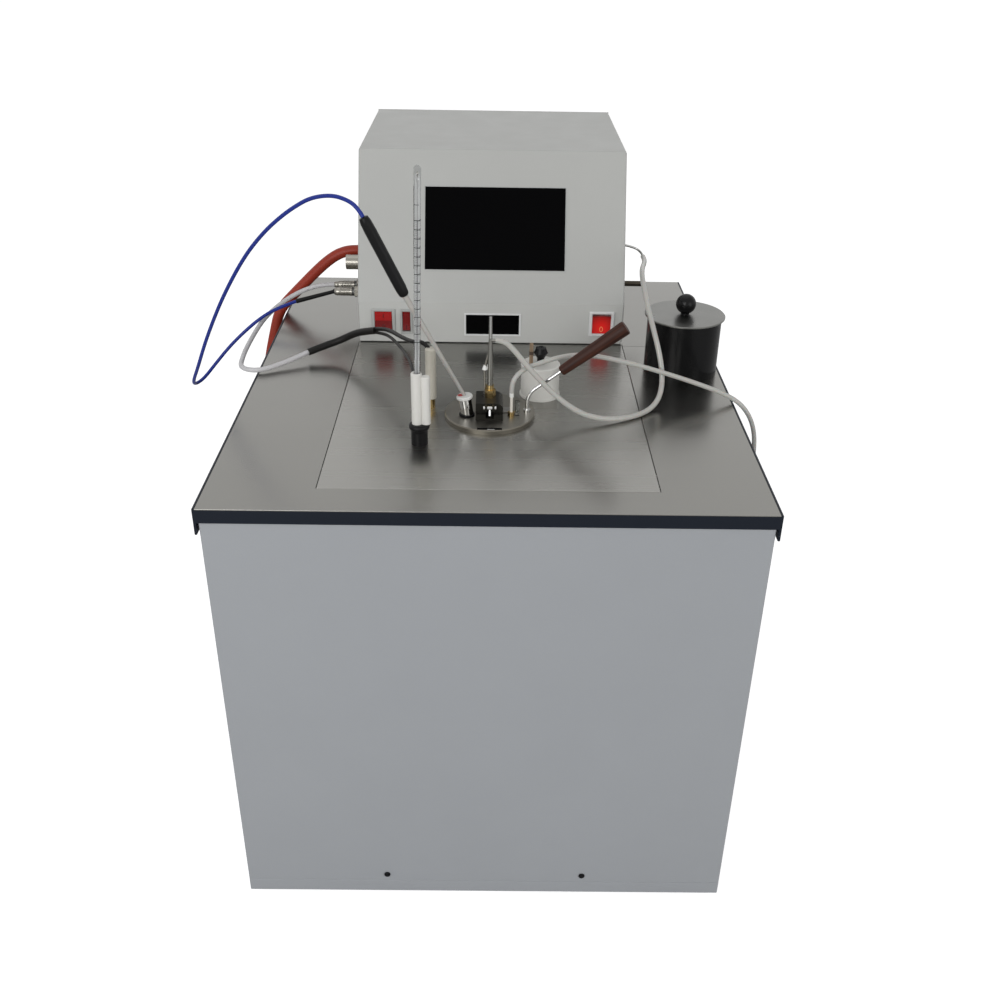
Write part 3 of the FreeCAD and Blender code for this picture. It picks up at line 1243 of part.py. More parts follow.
def probe_socket():
    """Chrome socket with its flat cap, leant to the left and cut flat on the lid."""
    radius = s.probe_socket_radius
    height = s.probe_socket_height
    cap = s.probe_cap_radius
    edge = s.probe_cap_edge
    top = height + s.probe_cap
    profile = [(0, -radius), (radius, -radius), (radius, height), (cap - edge, height), (cap, height + edge),
               (cap, top - edge), (cap - edge, top), (0, top)]
    x, y, z = probe_foot()
    leant = place(turned("ProbeSocket", profile), x, y, z, (0, 1, 0), -s.probe_tilt)
    below = box(x - radius * 2, y - radius * 2, z - radius * 2, x + radius * 2, y + radius * 2, z)
    seat = doc.addObject("Part::Cylinder", "ProbeSeat")
    bind(seat, "Radius", s.probe_rod_foot_radius + s.probe_rod_gap)
    bind(seat, "Height", s.probe_rod_sink * 2)
    start, end = probe_rod_line()
    aim(seat, start, end)
    return cut(leant, [below, seat])


def probe_rod_line():
    """Ends of the probe's rod, from inside the cap to the handle."""
    top = probe_cap_top()
    bend = (s.probe_bend_x, s.probe_bend_y, s.probe_bend_z)
    length = distance(top, bend)
    share = s.probe_rod_sink / length
    start = tuple(t - (b - t) * share for t, b in zip(top, bend))
    return start, bend


def probe_rod():
    start, end = probe_rod_line()
    rod = doc.addObject("Part::Cone", "ProbeRod")
    bind(rod, "Radius1", s.probe_rod_foot_radius)
    bind(rod, "Radius2", s.probe_rod_radius)
    bind(rod, "Height", distance(start, end))
    return aim(rod, start, end)


def probe_handle():
    start = (s.probe_bend_x, s.probe_bend_y, s.probe_bend_z)
    end = (s.probe_top_x, s.probe_top_y, s.probe_top_z)
    length = sized(distance(start, end))
    neck = s.probe_handle_neck_radius
    taper = s.probe_handle_taper
    radius = s.probe_handle_radius
    profile = [(0, 0), (neck, 0), (radius, taper), (radius, length - taper), (neck, length), (0, length)]
    return aim(turned("ProbeHandle", profile), start, end)


def handle_direction():
    tilt = math.radians(s.grip_tilt.value)
    return math.sin(tilt), math.cos(tilt)


def cup_handle():
    """Chrome rod that rises from the lid and bends over to the grip."""
    run, rise = handle_direction()
    foot = FreeCAD.Vector(s.handle_x.value, CUP_Y.value, LID_TOP.value)
    grip = FreeCAD.Vector(s.grip_start_x.value, CUP_Y.value, s.grip_start_z.value)
    back = (grip.x - foot.x) / run
    corner = FreeCAD.Vector(foot.x, CUP_Y.value, grip.z - back * rise)
    end = grip + FreeCAD.Vector(run, 0, rise) * s.handle_rod_sink.value
    points = [tuple(foot), tuple(corner), tuple(end)]
    rod = swept(rounded_path(points, "cup handle", s.handle_bend_radius.value), s.handle_rod_radius.value)
    base = cylinder(s.handle_foot_radius, s.handle_foot, s.handle_x, CUP_Y, LID_TOP)
    return fused([feature("HandleRod", rod), base])


def cup_grip():
    run, rise = handle_direction()
    radius = s.grip_radius
    edge = s.grip_edge
    length = s.grip_length
    bore = s.handle_rod_radius
    sink = s.handle_rod_sink
    profile = [(bore, 0), (radius - edge, 0), (radius, edge), (radius, length - edge),
               (radius - edge, length), (0, length), (0, sink), (bore, sink)]
    owner = turned("CupGrip", profile)
    start = (s.grip_start_x, CUP_Y, s.grip_start_z)
    end = (s.grip_start_x + length * run, CUP_Y, s.grip_start_z + length * rise)
    return aim(owner, start, end)


def igniter():
    """Ceramic igniter stem with a brass foot and an open glass guard beside it."""
    x = s.igniter_x
    y = CUP_Y - s.igniter_offset
    foot = cylinder(s.igniter_base_radius, s.igniter_base, x, y, LID_TOP)
    stem = cylinder(s.igniter_radius, s.igniter_height, x, y, LID_TOP)
    cap = cylinder(s.igniter_cap_radius, s.igniter_cap, x, y, LID_TOP + s.igniter_height - s.igniter_cap)
    guard_x = x + s.guard_gap
    wall = cylinder(s.guard_radius, s.guard_height, guard_x, y, LID_TOP)
    bore = cylinder(s.guard_radius - s.guard_wall, s.guard_height - s.igniter_base, guard_x, y,
                    LID_TOP + s.igniter_base)
    guard = cut(wall, [bore])
    return fused([foot, stem, cap, guard])


# Sensors, thermometer, filler and cover

def sensor_bung():
    lip = s.bung_lip_radius
    radius = s.bung_radius
    height = s.bung_height
    spigot = s.bung_spigot_radius
    profile = [(0, -s.bung_spigot), (spigot, -s.bung_spigot), (spigot, 0), (radius, 0),
               (radius, height - s.bung_lip - s.bung_flare), (lip, height - s.bung_lip),
               (lip, height - s.bung_flare), (radius, height), (0, height)]
    bung = place(turned("SensorBung", profile), s.bung_x, FRONT + s.bung_y, TOP)
    return cut(bung, [thermometer_bore(s.thermometer_stem_radius, 0 * s.bung_lip)])


def thermometer_bore(radius, start):
    """Running bore for the thermometer, from start along its axis."""
    bore = doc.addObject("Part::Cylinder", "ThermometerBore")
    bind(bore, "Radius", radius + s.thermometer_gap)
    bind(bore, "Height", s.thermometer_foot)
    x, y, z = thermometer_axis()
    lean = math.radians(s.thermometer_tilt.value)
    return place(bore, x + start * math.sin(lean), y, z + start * math.cos(lean), (0, 1, 0),
                 s.thermometer_tilt)


def thermometer_axis():
    """Foot of the thermometer, in the bath."""
    z = TOP + s.bung_height + s.holder_height - s.thermometer_foot
    return (s.thermometer_x, FRONT + s.bung_y, z)


LEAD_BORE_COUNT = 5


def sensor_holder():
    """Two white barrels side by side on the bung, one of them bored for the thermometer."""
    y = FRONT + s.bung_y
    z = TOP + s.bung_height
    barrels = []
    for x, radius, drop in ((s.holder_left_x, s.holder_left_radius, 0 * s.holder_edge),
                            (s.holder_right_x, s.holder_right_radius, s.holder_right_drop)):
        height = s.holder_height - drop
        edge = s.holder_edge
        profile = [(0, 0), (radius, 0), (radius, height - edge), (radius - edge, height), (0, height)]
        barrel = turned("HolderBarrel", profile)
        barrels.append(place(barrel, x, y, z))
    bores = [thermometer_bore(s.thermometer_stem_radius, 0 * s.holder_edge),
             thermometer_bore(s.thermometer_radius, s.thermometer_stem - s.thermometer_dome)]
    bores.append(lead_bore(SHORT_LEAD, s.short_lead_radius, "short lead"))
    return cut(fused(barrels), bores)


def lead_bore(route, radius, name):
    """Hole that follows the last runs of a lead with a gap all round."""
    edges = rounded_path(route[-LEAD_BORE_COUNT:], name + " bore")
    return feature("LeadBore", swept(edges, (radius + s.lead_bore_gap).value))


def thermometer():
    radius = s.thermometer_radius
    stem = s.thermometer_stem_radius
    length = s.thermometer_length
    dome = s.thermometer_dome
    profile = [(0, 0), (stem - dome / 2, 0), (stem, dome / 2), (stem, s.thermometer_stem - dome / 2),
               (radius, s.thermometer_stem), (radius, length - dome), (radius - dome, length), (0, length)]
    x, y, z = thermometer_axis()
    return place(turned("Thermometer", profile), x, y, z, (0, 1, 0), s.thermometer_tilt)


def bath_sensor():
    radius = s.tall_radius
    foot = s.tall_foot_radius
    height = s.tall_height
    edge = s.tall_edge
    stem = s.tall_stem_radius
    profile = [(0, -s.tall_stem), (stem, -s.tall_stem), (stem, 0), (foot, 0), (foot, s.tall_foot),
               (radius, s.tall_foot), (radius, height - edge), (radius - edge, height), (0, height)]
    sensor = place(turned("BathSensor", profile), s.tall_x, FRONT + s.tall_y, TOP)
    return cut(sensor, [lead_bore(TALL_LEAD, s.tall_lead_radius, "tall lead")])


def fill_neck():
    radius = s.jar_radius
    inner = radius - s.jar_wall
    profile = [(s.jar_hole_radius, 0), (s.jar_foot_radius, 0), (s.jar_foot_radius, s.jar_foot),
               (radius, s.jar_foot), (radius, s.jar_height), (inner, s.jar_height), (inner, s.jar_foot),
               (s.jar_hole_radius, s.jar_foot)]
    return place(turned("FillNeck", profile), s.jar_x, FRONT + s.jar_y, TOP)


def fill_lid():
    top = s.jar_lid
    edge = s.jar_lid_edge
    plug = s.jar_radius - s.jar_wall - s.jar_plug_gap
    wall = s.jar_wall
    profile = [(0, 0), (plug - wall, 0), (plug - wall, -s.jar_plug), (plug, -s.jar_plug), (plug, 0),
               (s.jar_lid_radius, 0), (s.jar_lid_radius, top - edge), (s.jar_lid_radius - edge, top),
               (0, top)]
    z = TOP + s.jar_height + s.jar_seat
    lid = place(turned("FillLid", profile), s.jar_x, FRONT + s.jar_y, z)
    x = s.jar_x + s.stick_dx
    half = s.stick_width / 2 + s.stick_gap
    y = FRONT + s.jar_y
    hole = box(x - half, y - half, z + top - s.stick_sink, x + half, y + half, z + top)
    return cut(lid, [hole])


def lid_top():
    return TOP + s.jar_height + s.jar_seat + s.jar_lid


KNOB_CROWN_SHARES = (0.7, 0.35)


def fill_knob():
    waist = s.jar_knob_waist
    crown, top = KNOB_CROWN_SHARES
    wide = s.jar_knob_radius
    height = s.jar_knob_height
    flare = s.jar_knob_flare
    dome = s.jar_knob_dome
    profile = [(0, 0), (waist + dome / 3, 0), (waist, dome / 2), (waist, flare / 2), (wide, flare),
               (wide - dome / 4, flare + dome / 2), (wide * crown, height - dome / 4),
               (wide * top, height), (0, height)]
    return place(turned("FillKnob", profile), s.jar_x, FRONT + s.jar_y, lid_top())


def marker_stick():
    x = s.jar_x + s.stick_dx
    y = FRONT + s.jar_y
    half = s.stick_width / 2
    z = lid_top() - s.stick_sink
    return box(x - half, y - half, z, x + half, y + half, z + s.stick_length)


def cover_body():
    """Black can, open below, with a wider disc on top."""
    radius = s.cover_radius
    inner = radius - s.cover_wall
    height = s.cover_height
    disc = s.cover_disc_radius
    edge = s.cover_disc_edge
    top = height + s.cover_disc_thickness
    profile = [(0, height), (inner, height), (inner, 0), (radius, 0), (radius, height), (disc - edge, height),
               (disc, height + edge), (disc, top - edge), (disc - edge, top), (0, top)]
    return place(turned("CoverBody", profile), s.cover_x, FRONT + s.cover_y, TOP + s.cover_seat)


GLOBE_RISE_SHARE = 0.9


def cover_knob():
    x = s.cover_x
    y = FRONT + s.cover_y
    z = TOP + s.cover_seat + s.cover_height + s.cover_disc_thickness
    neck = cylinder(s.cover_knob_neck_radius, s.cover_knob_radius, x, y, z)
    rise = s.cover_knob_neck + s.cover_knob_radius * GLOBE_RISE_SHARE
    globe = ball(s.cover_knob_radius, x, y, z + rise)
    return fused([neck, globe])


# Leads and tubes. Each route is the middle of the lead, in millimetres.

BLUE_CABLE = [
    (-131.7, -179, 751.7), (-137, -177, 760.5), (-147, -171, 766.5), (-165, -160, 769), (-190, -145, 762),
    (-212, -133, 747.5), (-230, -123, 733), (-248.6, -112, 715.5), (-268.7, -99, 692.5), (-284.3, -88, 671),
    (-299, -77, 648.5), (-316.5, -63, 619.5), (-333, -48, 589), (-352, -30, 551.5), (-370.5, -8, 511),
    (-386, 15, 481), (-388.5, 34, 469.5), (-381, 49, 471), (-367, 59.5, 486.7), (-349.5, 67, 506.5),
    (-331.6, 70.8, 524), (-307.3, 78, 544), (-284.5, 88, 556), (-259.3, 97.5, 562.8)]
WHITE_CABLE = [
    (-209, 138, 573), (-224, 138, 573), (-245, 137, 569), (-266, 133, 560.5), (-284, 124, 551),
    (-297, 106, 543.5), (-304.5, 83, 538.5), (-308, 52, 535), (-309, 21, 533.8), (-308.8, -4, 533.6),
    (-307.8, -24, 533.5), (-306.5, -40, 533.5), (-305.2, -50, 533.6), (-302.5, -58, 533.7),
    (-296.3, -64.8, 533.8), (-287.9, -68.5, 534.1), (-278.7, -68.5, 534.5), (-270.2, -64.9, 534.9),
    (-259, -56, 535.8), (-242, -42.5, 538.2), (-225.8, -27, 541.5)]
CABLE_SLEEVE = [
    (-225.8, -27, 541.5), (-206.3, -16, 546), (-187.6, -12, 551.6), (-172.6, -16, 560.6),
    (-159.5, -25, 568.3), (-139.6, -40, 576)]
TALL_LEAD = [
    (-139.6, -39.1, 577.7), (-127.8, -50, 582), (-117.2, -70, 586.5), (-108.5, -90, 590), (-101, -108, 593.6),
    (-93.5, -125, 597.4), (-87.5, -138, 600.8), (-81.6, -145.3, 603.8), (-76.5, -150, 604.9),
    (-71.9, -154, 603.5), (-68.3, -157.3, 600), (-66, -159.4, 596.4)]
SHORT_LEAD = [
    (-139.6, -41.1, 573.8), (-126.5, -54, 577), (-116.5, -77, 580.5), (-108, -105, 585.2),
    (-101.5, -130, 590), (-96, -155, 595.5), (-91.5, -178, 600.4), (-87.3, -200, 604.9),
    (-83.8, -219, 608.2), (-81.3, -233.5, 609.4), (-79.2, -244.8, 608.6)]
RED_HOSE = [
    (-178, 150, 617), (-187, 150, 617), (-197, 150, 615.3), (-207, 150, 611.5), (-217, 150, 605.3),
    (-228, 150, 596.6), (-242, 150, 583.6), (-257.5, 150, 568.2), (-271, 150, 554.7), (-284, 150, 541.5), (-291, 150, 532),
    (-296, 150, 521), (-300.5, 150, 505), (-306, 150, 485), (-311.5, 150, 463.5), (-315, 150, 442),
    (-315.5, 150, 422), (-312.5, 150, 404), (-307.5, 150, 389), (-303, 150, 375), (-299.5, 150, 361.5),
    (-298, 150, 349), (-298, 150, 337)]
GAS_TUBE = [
    (195, 86, 633.5), (195.4, 71, 633.7), (191.5, 44, 637.5), (184.5, 8, 643), (179.2, -31, 646.5),
    (177.8, -67, 643), (180.5, -95, 629), (186, -111, 609.5), (192, -121, 590), (196.5, -130, 570.5),
    (197.5, -139, 553.5), (193.5, -150.5, 541), (184, -163.5, 534.4), (170.5, -177.5, 533.3),
    (154.5, -188, 533.4), (136.5, -195, 534.6), (118.5, -198.5, 537.5), (101.5, -198, 542.5),
    (85, -195, 551.5), (68, -192, 565), (50, -188, 582.5), (33.5, -184, 600.5), (26.5, -181.5, 608.6),
    (20, -179.8, 614.9), (15.4, -178.8, 617.6), (10.6, -178.3, 619.1), (5.5, -178.2, 619.4)]
IGNITER_CABLE = [
    (24, -188.2, 562.2), (24, -188.2, 570), (26.4, -187.2, 578), (32.5, -184.5, 585), (42.5, -179.5, 589.5),
    (55, -173, 591.6), (70, -165.5, 593.6), (85, -159.5, 594.8), (101, -154.5, 594.4), (119, -149.5, 591), (140.5, -145, 585),
    (163.6, -143.5, 578.9), (189.5, -141.5, 570.8), (216.4, -139.5, 561.7), (242.2, -137, 552),
    (265.5, -136.5, 543), (287, -137.5, 532.6), (301.5, -139.5, 517), (309.5, -142, 498),
    (312, -145, 478), (311.5, -148, 459.5), (310, -150.5, 442.5), (303.6, -151.7, 430.4),
    (292.4, -152, 424), (282.2, -152, 424)]


ARC_REACH_SHARE = 0.45


def rounded_path(route, name, radius=None):
    """Straight runs joined by tangent arcs as large as the two runs beside each point allow."""
    points = [FreeCAD.Vector(*point) for point in route]
    edges = []
    radii = []
    start = points[0]
    for before, corner, after in zip(points, points[1:], points[2:]):
        arriving = corner - before
        leaving = after - corner
        shorter = min(arriving.Length, leaving.Length)
        half_turn = arriving.getAngle(leaving) / 2
        reach = shorter * ARC_REACH_SHARE
        if radius:
            reach = radius * math.tan(half_turn)
        bend = reach / math.tan(half_turn)
        radii.append(round(bend, 1))
        arriving.normalize()
        leaving.normalize()
        first = corner - arriving * reach
        last = corner + leaving * reach
        to_centre = (leaving - arriving).normalize()
        centre = corner + to_centre * (bend / math.cos(half_turn))
        middle = centre - to_centre * bend
        if first.distanceToPoint(start) > bend * 1e-6:
            edges.append(Part.LineSegment(start, first).toShape())
        edges.append(Part.Arc(first, middle, last).toShape())
        start = last
    edges.append(Part.LineSegment(start, points[-1]).toShape())
    print(name, "radii", radii, "length", round(sum(edge.Length for edge in edges), 1))
    return edges


def lead(label, route, radius):
    node(feature(label, swept(rounded_path(route, label), radius.value)), label)


def sensor_leads():
    """The two leads that leave the sleeve side by side."""
    tall = swept(rounded_path(TALL_LEAD, "tall lead"), s.tall_lead_radius.value)
    short = swept(rounded_path(SHORT_LEAD, "short lead"), s.short_lead_radius.value)
    return group([feature("TallLead", tall), feature("ShortLead", short)])


def hose_elbow():
    """Elbow on the cabinet's left side that the hose comes down to."""
    x = -SHELL_X - s.elbow_reach
    flange = cylinder(s.elbow_flange_radius, s.side_port_length, -SHELL_X - s.side_port_length,
                      s.elbow_y, s.elbow_z, "x")
    stub = cylinder(s.elbow_stub_radius, s.elbow_reach + s.socket_tail, x, s.elbow_y, s.elbow_z, "x")
    corner = ball(s.elbow_stub_radius, x, s.elbow_y, s.elbow_z)
    rise = cylinder(s.elbow_stub_radius, s.elbow_rise, x, s.elbow_y, s.elbow_z)
    collar = cylinder(s.elbow_collar_radius, s.elbow_collar, x, s.elbow_y,
                      s.elbow_z + s.elbow_rise - s.elbow_collar)
    return fused([flange, stub, corner, rise, collar])


def cord_fittings():
    """Plug of each cable on the left wall, the blue cable's with a long boot, and the hose's elbow."""
    plugs = []
    start_x = -s.box_half_width - s.socket_nut_length - s.socket_collar
    for y, route in ((s.socket_front_y, BLUE_CABLE), (s.socket_back_y, WHITE_CABLE)):
        plugs.append(cylinder(s.plug_radius, s.plug_length, start_x - s.plug_length, y, s.socket_z, "x"))
    boot_start = (start_x - s.plug_length, s.socket_front_y, s.socket_z)
    boot_end = BLUE_CABLE[-1]
    boot = doc.addObject("Part::Cone", "Boot")
    bind(boot, "Radius1", s.boot_radius)
    bind(boot, "Radius2", s.boot_end_radius)
    bind(boot, "Height", distance(boot_start, boot_end))
    aim(boot, boot_start, boot_end)
    return group([fused([plugs[0], boot]), plugs[1], hose_elbow()])


def build():
    for label, make in (
            ("rubber_feet", rubber_feet), ("base_tray", base_tray), ("cabinet_shell", cabinet_shell),
            ("panel_screws", panel_screws), ("rear_panel", rear_panel), ("mains_inlet", mains_inlet),
            ("worktop", worktop), ("worktop_trim", worktop_trim), ("access_panel", access_panel),
            ("bath_tank", bath_tank), ("insulation", insulation), ("evaporator_coil", evaporator_coil),
            ("compressor", compressor), ("condenser", condenser), ("condenser_fan", condenser_fan),
            ("box_cover", box_shell), ("box_chassis", box_chassis), ("touch_screen", touch_screen),
            ("display_window", display_window), ("switch_bodies", switch_bodies),
            ("control_board", control_board), ("stirrer_bush", stirrer_bush),
            ("stirrer_motor", stirrer_motor), ("bath_stirrer", bath_stirrer), ("left_sockets", left_sockets),
            ("right_sockets", right_sockets), ("test_cup", test_cup), ("cup_lid", cup_lid),
            ("shutter_housing", shutter_housing), ("shutter_slide", shutter_slide), ("gas_jet", gas_jet),
            ("riser_nut", riser_nut), ("gas_riser", gas_riser), ("probe_socket", probe_socket),
            ("probe_rod", probe_rod), ("probe_handle", probe_handle), ("cup_handle", cup_handle),
            ("cup_grip", cup_grip), ("igniter", igniter), ("sensor_bung", sensor_bung),
            ("sensor_holder", sensor_holder), ("thermometer", thermometer), ("bath_sensor", bath_sensor),
            ("fill_neck", fill_neck), ("fill_lid", fill_lid), ("fill_knob", fill_knob),
            ("marker_stick", marker_stick), ("cover_body", cover_body), ("cover_knob", cover_knob),
            ("cord_fittings", cord_fittings), ("sensor_leads", sensor_leads)):
        node(make(), label)
    for (x, width), name, label, pressed in zip(switches(), ("MainRocker", "LeftRocker", "SmallRocker"),
                                                ("main_rocker", "left_rocker", "small_rocker"), (1, -1, -1)):
        node(rocker(name, x, width, pressed), label)
    lead("blue_cable", BLUE_CABLE, s.blue_radius)
    lead("white_cable", WHITE_CABLE, s.white_radius)
    lead("cable_sleeve", CABLE_SLEEVE, s.sleeve_radius)
    lead("red_hose", RED_HOSE, s.hose_radius)
    lead("gas_tube", GAS_TUBE, s.gas_radius)
    lead("igniter_cable", IGNITER_CABLE, s.igniter_cable_radius)


def check_and_export():
    doc.recompute()
    for obj in doc.Objects:
        if "Invalid" in obj.State or "Error" in obj.State:
            raise RuntimeError(f"{obj.Name} ({obj.Label}) is {obj.State}")
    os.makedirs("parts", exist_ok=True)
    for obj in NODES:
        if obj.Shape.isNull() or not obj.Shape.isValid() or not obj.Shape.Solids:
            raise RuntimeError(f"{obj.Label} has no valid solid")
    for obj in NODES:
        obj.Shape.exportStep(f"parts/{obj.Label}.step")
    print(len(NODES), "sub-parts")


build()
check_and_export()
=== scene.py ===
"""Look of the flash point tester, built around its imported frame. Lengths are in millimetres unless said."""

import json
import math

import bmesh
import bpy
from mathutils import Matrix, Vector
from mathutils.bvhtree import BVHTree

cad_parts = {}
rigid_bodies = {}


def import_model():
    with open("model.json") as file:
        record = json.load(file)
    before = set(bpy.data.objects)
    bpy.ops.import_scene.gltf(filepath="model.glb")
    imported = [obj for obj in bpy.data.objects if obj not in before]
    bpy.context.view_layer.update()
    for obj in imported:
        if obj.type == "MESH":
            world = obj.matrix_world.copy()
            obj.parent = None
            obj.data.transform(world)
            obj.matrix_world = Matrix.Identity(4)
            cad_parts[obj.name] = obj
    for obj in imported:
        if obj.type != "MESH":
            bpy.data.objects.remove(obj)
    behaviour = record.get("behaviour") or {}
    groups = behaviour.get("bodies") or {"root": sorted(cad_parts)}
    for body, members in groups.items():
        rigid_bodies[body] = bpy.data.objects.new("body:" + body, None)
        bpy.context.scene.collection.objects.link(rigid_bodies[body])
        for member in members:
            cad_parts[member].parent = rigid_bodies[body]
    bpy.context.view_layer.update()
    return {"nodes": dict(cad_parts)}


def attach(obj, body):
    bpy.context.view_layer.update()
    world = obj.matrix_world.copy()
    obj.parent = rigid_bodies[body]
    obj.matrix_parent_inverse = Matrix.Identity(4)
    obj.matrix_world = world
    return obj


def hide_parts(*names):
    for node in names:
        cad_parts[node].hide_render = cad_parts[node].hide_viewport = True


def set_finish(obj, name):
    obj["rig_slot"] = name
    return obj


for thing in list(bpy.data.objects):
    bpy.data.objects.remove(thing, do_unlink=True)

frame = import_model()

MM = 0.001
ROOT = "stand"


# Camera

CAMERA_PLACE = (1.63, -1287.17, 1053.75)
CAMERA_PITCH = 29.745
CAMERA_YAW = -0.596
CAMERA_ROLL = 0.956
CAMERA_LENS = 39.122
CAMERA_SENSOR = 36.0


def add_camera():
    data = bpy.data.cameras.new("camera")
    data.sensor_width = CAMERA_SENSOR
    data.lens = CAMERA_LENS
    camera = bpy.data.objects.new("camera", data)
    bpy.context.scene.collection.objects.link(camera)
    yaw = Matrix.Rotation(math.radians(CAMERA_YAW), 4, "Z")
    pitch = Matrix.Rotation(math.radians(90 - CAMERA_PITCH), 4, "X")
    roll = Matrix.Rotation(math.radians(CAMERA_ROLL), 4, "Z")
    camera.matrix_world = Matrix.Translation(Vector(CAMERA_PLACE) * MM) @ yaw @ pitch @ roll
    bpy.context.scene.camera = camera


add_camera()


# Cords, each along the same points as in the CAD source

BLUE_CABLE = [
    (-131.7, -179, 751.7), (-137, -177, 760.5), (-147, -171, 766.5), (-165, -160, 769), (-190, -145, 762),
    (-212, -133, 747.5), (-230, -123, 733), (-248.6, -112, 715.5), (-268.7, -99, 692.5), (-284.3, -88, 671),
    (-299, -77, 648.5), (-316.5, -63, 619.5), (-333, -48, 589), (-352, -30, 551.5), (-370.5, -8, 511),
    (-386, 15, 481), (-388.5, 34, 469.5), (-381, 49, 471), (-367, 59.5, 486.7), (-349.5, 67, 506.5),
    (-331.6, 70.8, 524), (-307.3, 78, 544), (-284.5, 88, 556), (-259.3, 97.5, 562.8)]

WHITE_CABLE = [
    (-209, 138, 573), (-224, 138, 573), (-245, 137, 569), (-266, 133, 560.5), (-284, 124, 551),
    (-297, 106, 543.5), (-304.5, 83, 538.5), (-308, 52, 535), (-309, 21, 533.8), (-308.8, -4, 533.6),
    (-307.8, -24, 533.5), (-306.5, -40, 533.5), (-305.2, -50, 533.6), (-302.5, -58, 533.7),
    (-296.3, -64.8, 533.8), (-287.9, -68.5, 534.1), (-278.7, -68.5, 534.5), (-270.2, -64.9, 534.9),
    (-259, -56, 535.8), (-242, -42.5, 538.2), (-225.8, -27, 541.5)]

CABLE_SLEEVE = [
    (-225.8, -27, 541.5), (-206.3, -16, 546), (-187.6, -12, 551.6), (-172.6, -16, 560.6),
    (-159.5, -25, 568.3), (-139.6, -40, 576)]

TALL_LEAD = [
    (-139.6, -39.1, 577.7), (-127.8, -50, 582), (-117.2, -70, 586.5), (-108.5, -90, 590), (-101, -108, 593.6),
    (-93.5, -125, 597.4), (-87.5, -138, 600.8), (-81.6, -145.3, 603.8), (-76.5, -150, 604.9),
    (-71.9, -154, 603.5), (-68.3, -157.3, 600), (-66, -159.4, 596.4)]

SHORT_LEAD = [
    (-139.6, -41.1, 573.8), (-126.5, -54, 577), (-116.5, -77, 580.5), (-108, -105, 585.2),
    (-101.5, -130, 590), (-96, -155, 595.5), (-91.5, -178, 600.4), (-87.3, -200, 604.9), (-83.8, -219, 608.2),
    (-81.3, -233.5, 609.4), (-79.2, -244.8, 608.6)]

RED_HOSE = [
    (-178, 150, 617), (-187, 150, 617), (-197, 150, 615.3), (-207, 150, 611.5), (-217, 150, 605.3),
    (-228, 150, 596.6), (-242, 150, 583.6), (-257.5, 150, 568.2), (-271, 150, 554.7), (-284, 150, 541.5),
    (-291, 150, 532), (-296, 150, 521), (-300.5, 150, 505), (-306, 150, 485), (-311.5, 150, 463.5),
    (-315, 150, 442), (-315.5, 150, 422), (-312.5, 150, 404), (-307.5, 150, 389), (-303, 150, 375),
    (-299.5, 150, 361.5), (-298, 150, 349), (-298, 150, 337)]

GAS_TUBE = [
    (195, 86, 633.5), (195.4, 71, 633.7), (191.5, 44, 637.5), (184.5, 8, 643), (179.2, -31, 646.5),
    (177.8, -67, 643), (180.5, -95, 629), (186, -111, 609.5), (192, -121, 590), (196.5, -130, 570.5),
    (197.5, -139, 553.5), (193.5, -150.5, 541), (184, -163.5, 534.4), (170.5, -177.5, 533.3),
    (154.5, -188, 533.4), (136.5, -195, 534.6), (118.5, -198.5, 537.5), (101.5, -198, 542.5),
    (85, -195, 551.5), (68, -192, 565), (50, -188, 582.5), (33.5, -184, 600.5), (26.5, -181.5, 608.6),
    (20, -179.8, 614.9), (15.4, -178.8, 617.6), (10.6, -178.3, 619.1), (5.5, -178.2, 619.4)]

IGNITER_CABLE = [
    (24, -188.2, 562.2), (24, -188.2, 570), (26.4, -187.2, 578), (32.5, -184.5, 585), (42.5, -179.5, 589.5),
    (55, -173, 591.6), (70, -165.5, 593.6), (85, -159.5, 594.8), (101, -154.5, 594.4), (119, -149.5, 591),
    (140.5, -145, 585), (163.6, -143.5, 578.9), (189.5, -141.5, 570.8), (216.4, -139.5, 561.7),
    (242.2, -137, 552), (265.5, -136.5, 543), (287, -137.5, 532.6), (301.5, -139.5, 517), (309.5, -142, 498),
    (312, -145, 478), (311.5, -148, 459.5), (310, -150.5, 442.5), (303.6, -151.7, 430.4),
    (292.4, -152, 424), (282.2, -152, 424)]


def add_cord(name, node, route, diameter, slot):
    """One open NURBS spline along the route; its points carry the radius, so the bevel is one metre."""
    curve = bpy.data.curves.new(name, "CURVE")
    curve.dimensions = "3D"
    spline = curve.splines.new("NURBS")
    spline.points.add(len(route) - 1)
    for point, place in zip(spline.points, route):
        point.co = (*(Vector(place) * MM), 1)
        point.radius = diameter / 2 * MM
    spline.order_u = 3
    spline.use_endpoint_u = True
    spline.resolution_u = 10
    curve.bevel_depth = 1
    curve.bevel_resolution = 7
    curve.use_fill_caps = True
    cord = bpy.data.objects.new(name, curve)
    bpy.context.scene.collection.objects.link(cord)
    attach(cord, ROOT)
    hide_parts(node)
    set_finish(cord, slot)
    return cord


blue_cord = add_cord("blue_cord", "blue_cable", BLUE_CABLE, 4.4, "blue_pvc")
white_cord = add_cord("white_cord", "white_cable", WHITE_CABLE, 6, "white_pvc")
sleeve_cord = add_cord("sleeve_cord", "cable_sleeve", CABLE_SLEEVE, 8.8, "black_pvc")
tall_cord = add_cord("tall_cord", "sensor_leads", TALL_LEAD, 4.8, "black_pvc")
short_cord = add_cord("short_cord", "sensor_leads", SHORT_LEAD, 3.6, "black_pvc")
hose_cord = add_cord("hose_cord", "red_hose", RED_HOSE, 14.4, "red_rubber")
gas_cord = add_cord("gas_cord", "gas_tube", GAS_TUBE, 6, "clear_tube")
igniter_cord = add_cord("igniter_cord", "igniter_cable", IGNITER_CABLE, 5.4, "clear_tube")


# Materials

